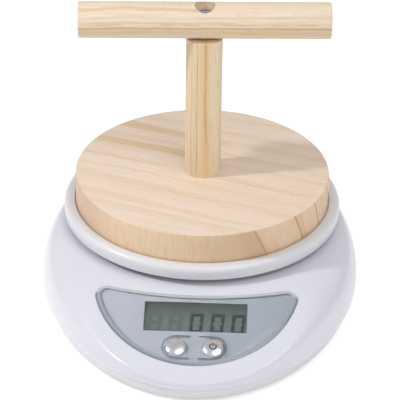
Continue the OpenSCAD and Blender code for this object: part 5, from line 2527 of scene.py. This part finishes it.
def build_woods() -> tuple[Wood, Wood, Wood]:
    """The woods of the board, the post and the bar.

    Returns:
        The three finishes, in that order.
    """
    nodes = ("perch_board", "perch_post", "perch_bar")
    board_at, post_at, bar_at = (tuple(middle(node)) for node in nodes)
    orange, brown, tan = (0.74, 0.52, 0.29), (0.42, 0.24, 0.1), (0.66, 0.44, 0.27)
    board = Wood(
        "board_wood", "board_wood", board_at, (0, 0, -19.5), (-150.0, -44.0), 12.0,
        (0.87, 0.735, 0.615), (0.86, 0.71, 0.575), (0.77, 0.58, 0.4), 0.36, (0.78, 0.58, 0.41),
        (
            Streak(36.0, 2.6, 1.5, orange, 0.55, -80, -8, 20),
            Streak(16.0, 2.6, 1.2, orange, 0.65, -90, -5, 15),
            Streak(-1.5, 0.35, 0.5, brown, 0.24, -75, -28, 14),
            Streak(-2.5, 0.35, 0.5, brown, 0.2, 22, 60, 14),
            Streak(-26.5, 0.3, 0.4, brown, 0.16, -40, 12, 18),
            Streak(-44.0, 0.3, 0.4, brown, 0.12, -30, 30, 18),
        ),
        (
            Streak(-57.0, 8.0, 6.0, tan, 0.5, 0),
            Streak(-51.5, 3.6, 0.3, tan, 0.55, 0),
            Streak(-47.6, 0.3, 0.3, brown, 0.55, 0),
            Streak(-24.0, 0.4, 0.3, brown, 0.75, 0),
            Streak(-21.5, 1.6, 1.2, tan, 0.5, 0),
            Streak(-7.0, 0.4, 0.3, brown, 0.6, 0),
            Streak(12.0, 0.5, 0.4, brown, 0.5),
            Streak(-6.0, 0.35, 0.3, brown, 0.5, -90, 0),
            Streak(-14.0, 0.4, 0.4, brown, 0.45, -90, 0),
            Streak(-24.0, 0.3, 0.3, brown, 0.4, -90, 0),
            Streak(-33.0, 0.4, 0.4, brown, 0.35, -90, 0),
            # This last band darkens the whole cut end towards the left.
            Streak(-5.0, 60.0, 1.0, (0.6, 0.4, 0.31), 0.5, -90, -40, 30),
        ),
        0.38, 3.1, (0.88, 0.62, 0.36), 0.5,
    )
    post = Wood(
        "post_wood", "post_wood", post_at, (-90, -90, 0), (13.0, -27.0), 5.2,
        (0.84, 0.69, 0.52), (0.83, 0.67, 0.48), (0.7, 0.48, 0.26), 0.22, (0.72, 0.52, 0.32),
        (
            Streak(1.7, 2.0, 1.0, (0.87, 0.64, 0.35), 0.8),
            Streak(2.0, 0.5, 0.5, (0.55, 0.38, 0.16), 0.5, -12, 60, 18),
            Streak(-2.7, 0.12, 0.3, (0.4, 0.24, 0.12), 0.4),
            Streak(-6.0, 0.3, 0.5, (0.6, 0.4, 0.22), 0.35),
            Streak(6.5, 1.8, 1.2, (0.88, 0.76, 0.55), 0.6),
        ),
        (), 0.0, 7.7,
    )
    dashes = ((-57, -47), (-22, -18.5), (-10, -5.6), (11, 25), (38, 42), (52, 58))
    bar = Wood(
        "bar_wood", "bar_wood", bar_at, (90, 0, 2.75), (-34.0, 20.0), 6.2,
        (0.88, 0.755, 0.61), (0.87, 0.73, 0.57), (0.77, 0.58, 0.37), 0.3, (0.76, 0.57, 0.38),
        (
            Streak(-0.6, 0.35, 0.5, (0.62, 0.38, 0.16), 0.7),
            Streak(-2.6, 1.6, 0.8, (0.78, 0.56, 0.32), 0.45),
            Streak(2.6, 0.25, 0.4, (0.6, 0.4, 0.2), 0.35, -60, 10, 12),
            Streak(8.6, 0.3, 0.5, (0.7, 0.48, 0.24), 0.5, -70, -5, 15),
            Streak(5.0, 0.2, 0.4, (0.62, 0.42, 0.22), 0.2, 5, 70, 15),
            *(Streak(1.5, 0.1, 0.4, (0.5, 0.33, 0.2), 0.4, start, end, 4) for start, end in dashes),
        ),
        (), 0.0, 12.4,
    )
    return board, post, bar


def build_fasteners(housing: Housing) -> None:
    """Builds the screws that show under the housing.

    Args:
        housing: The housing that they hold.
    """
    low, high = box_mm("cell_screws")
    y, head = (low.y + high.y) / 2, housing.cell_head / 2
    seat, cell_seat = housing.cover_top + housing.screw_seat, housing.cover_top + housing.cell_seat
    shell_screw = PanScrew(housing.screw_head, 2.2, 2.9, 14.0)
    shell_places = [(*place, seat) for place in housing.screw_places()]
    cell_screw = PanScrew(housing.cell_head, 2.6, 4.0, high.z - cell_seat)
    cell_places = [(low.x + head, y, cell_seat), (high.x - head, y, cell_seat)]
    for node, screw, places in (
        ("housing_screws", shell_screw, shell_places), ("cell_screws", cell_screw, cell_places),
    ):
        ScrewSet(node, screw, places, UPSIDE_DOWN, Body.ROOT).build()


def main() -> None:
    """Builds the scale piece by piece, dresses it and sets the studio up."""
    logging.basicConfig(level=logging.INFO, format="%(message)s")
    oval, front, outline, window = Oval(), SlopingFront(), PanelOutline(), Window()
    housing = Housing(oval, front, outline, window)
    bay = BatteryBay()
    housing.build_shell()
    housing.build_cover(bay)
    bay.build_door()
    bay.build_cell("battery_front", False)
    bay.build_cell("battery_rear", True)
    Feet().build()
    build_fasteners(housing)

    display = Display(front, outline, window)
    display.build_panel()
    display.build_print()
    display.build_glass()
    display.build_digits()
    left, right = window.button_places()
    display.build_button("unit_button", left, Body.UNIT_KEY)
    display.build_button("power_button", right, Body.POWER_KEY)
    display.build_symbol(right)

    Pan().build()
    board, post, bar = build_woods()
    stand = PerchStand()
    stand.build_board(board)
    stand.build_post(post)
    stand.build_bar(bar)
    stand.build_screws()

    InnerParts().dress()
    Camera().build()
    Studio().build()


if __name__ == "__main__":
    main()
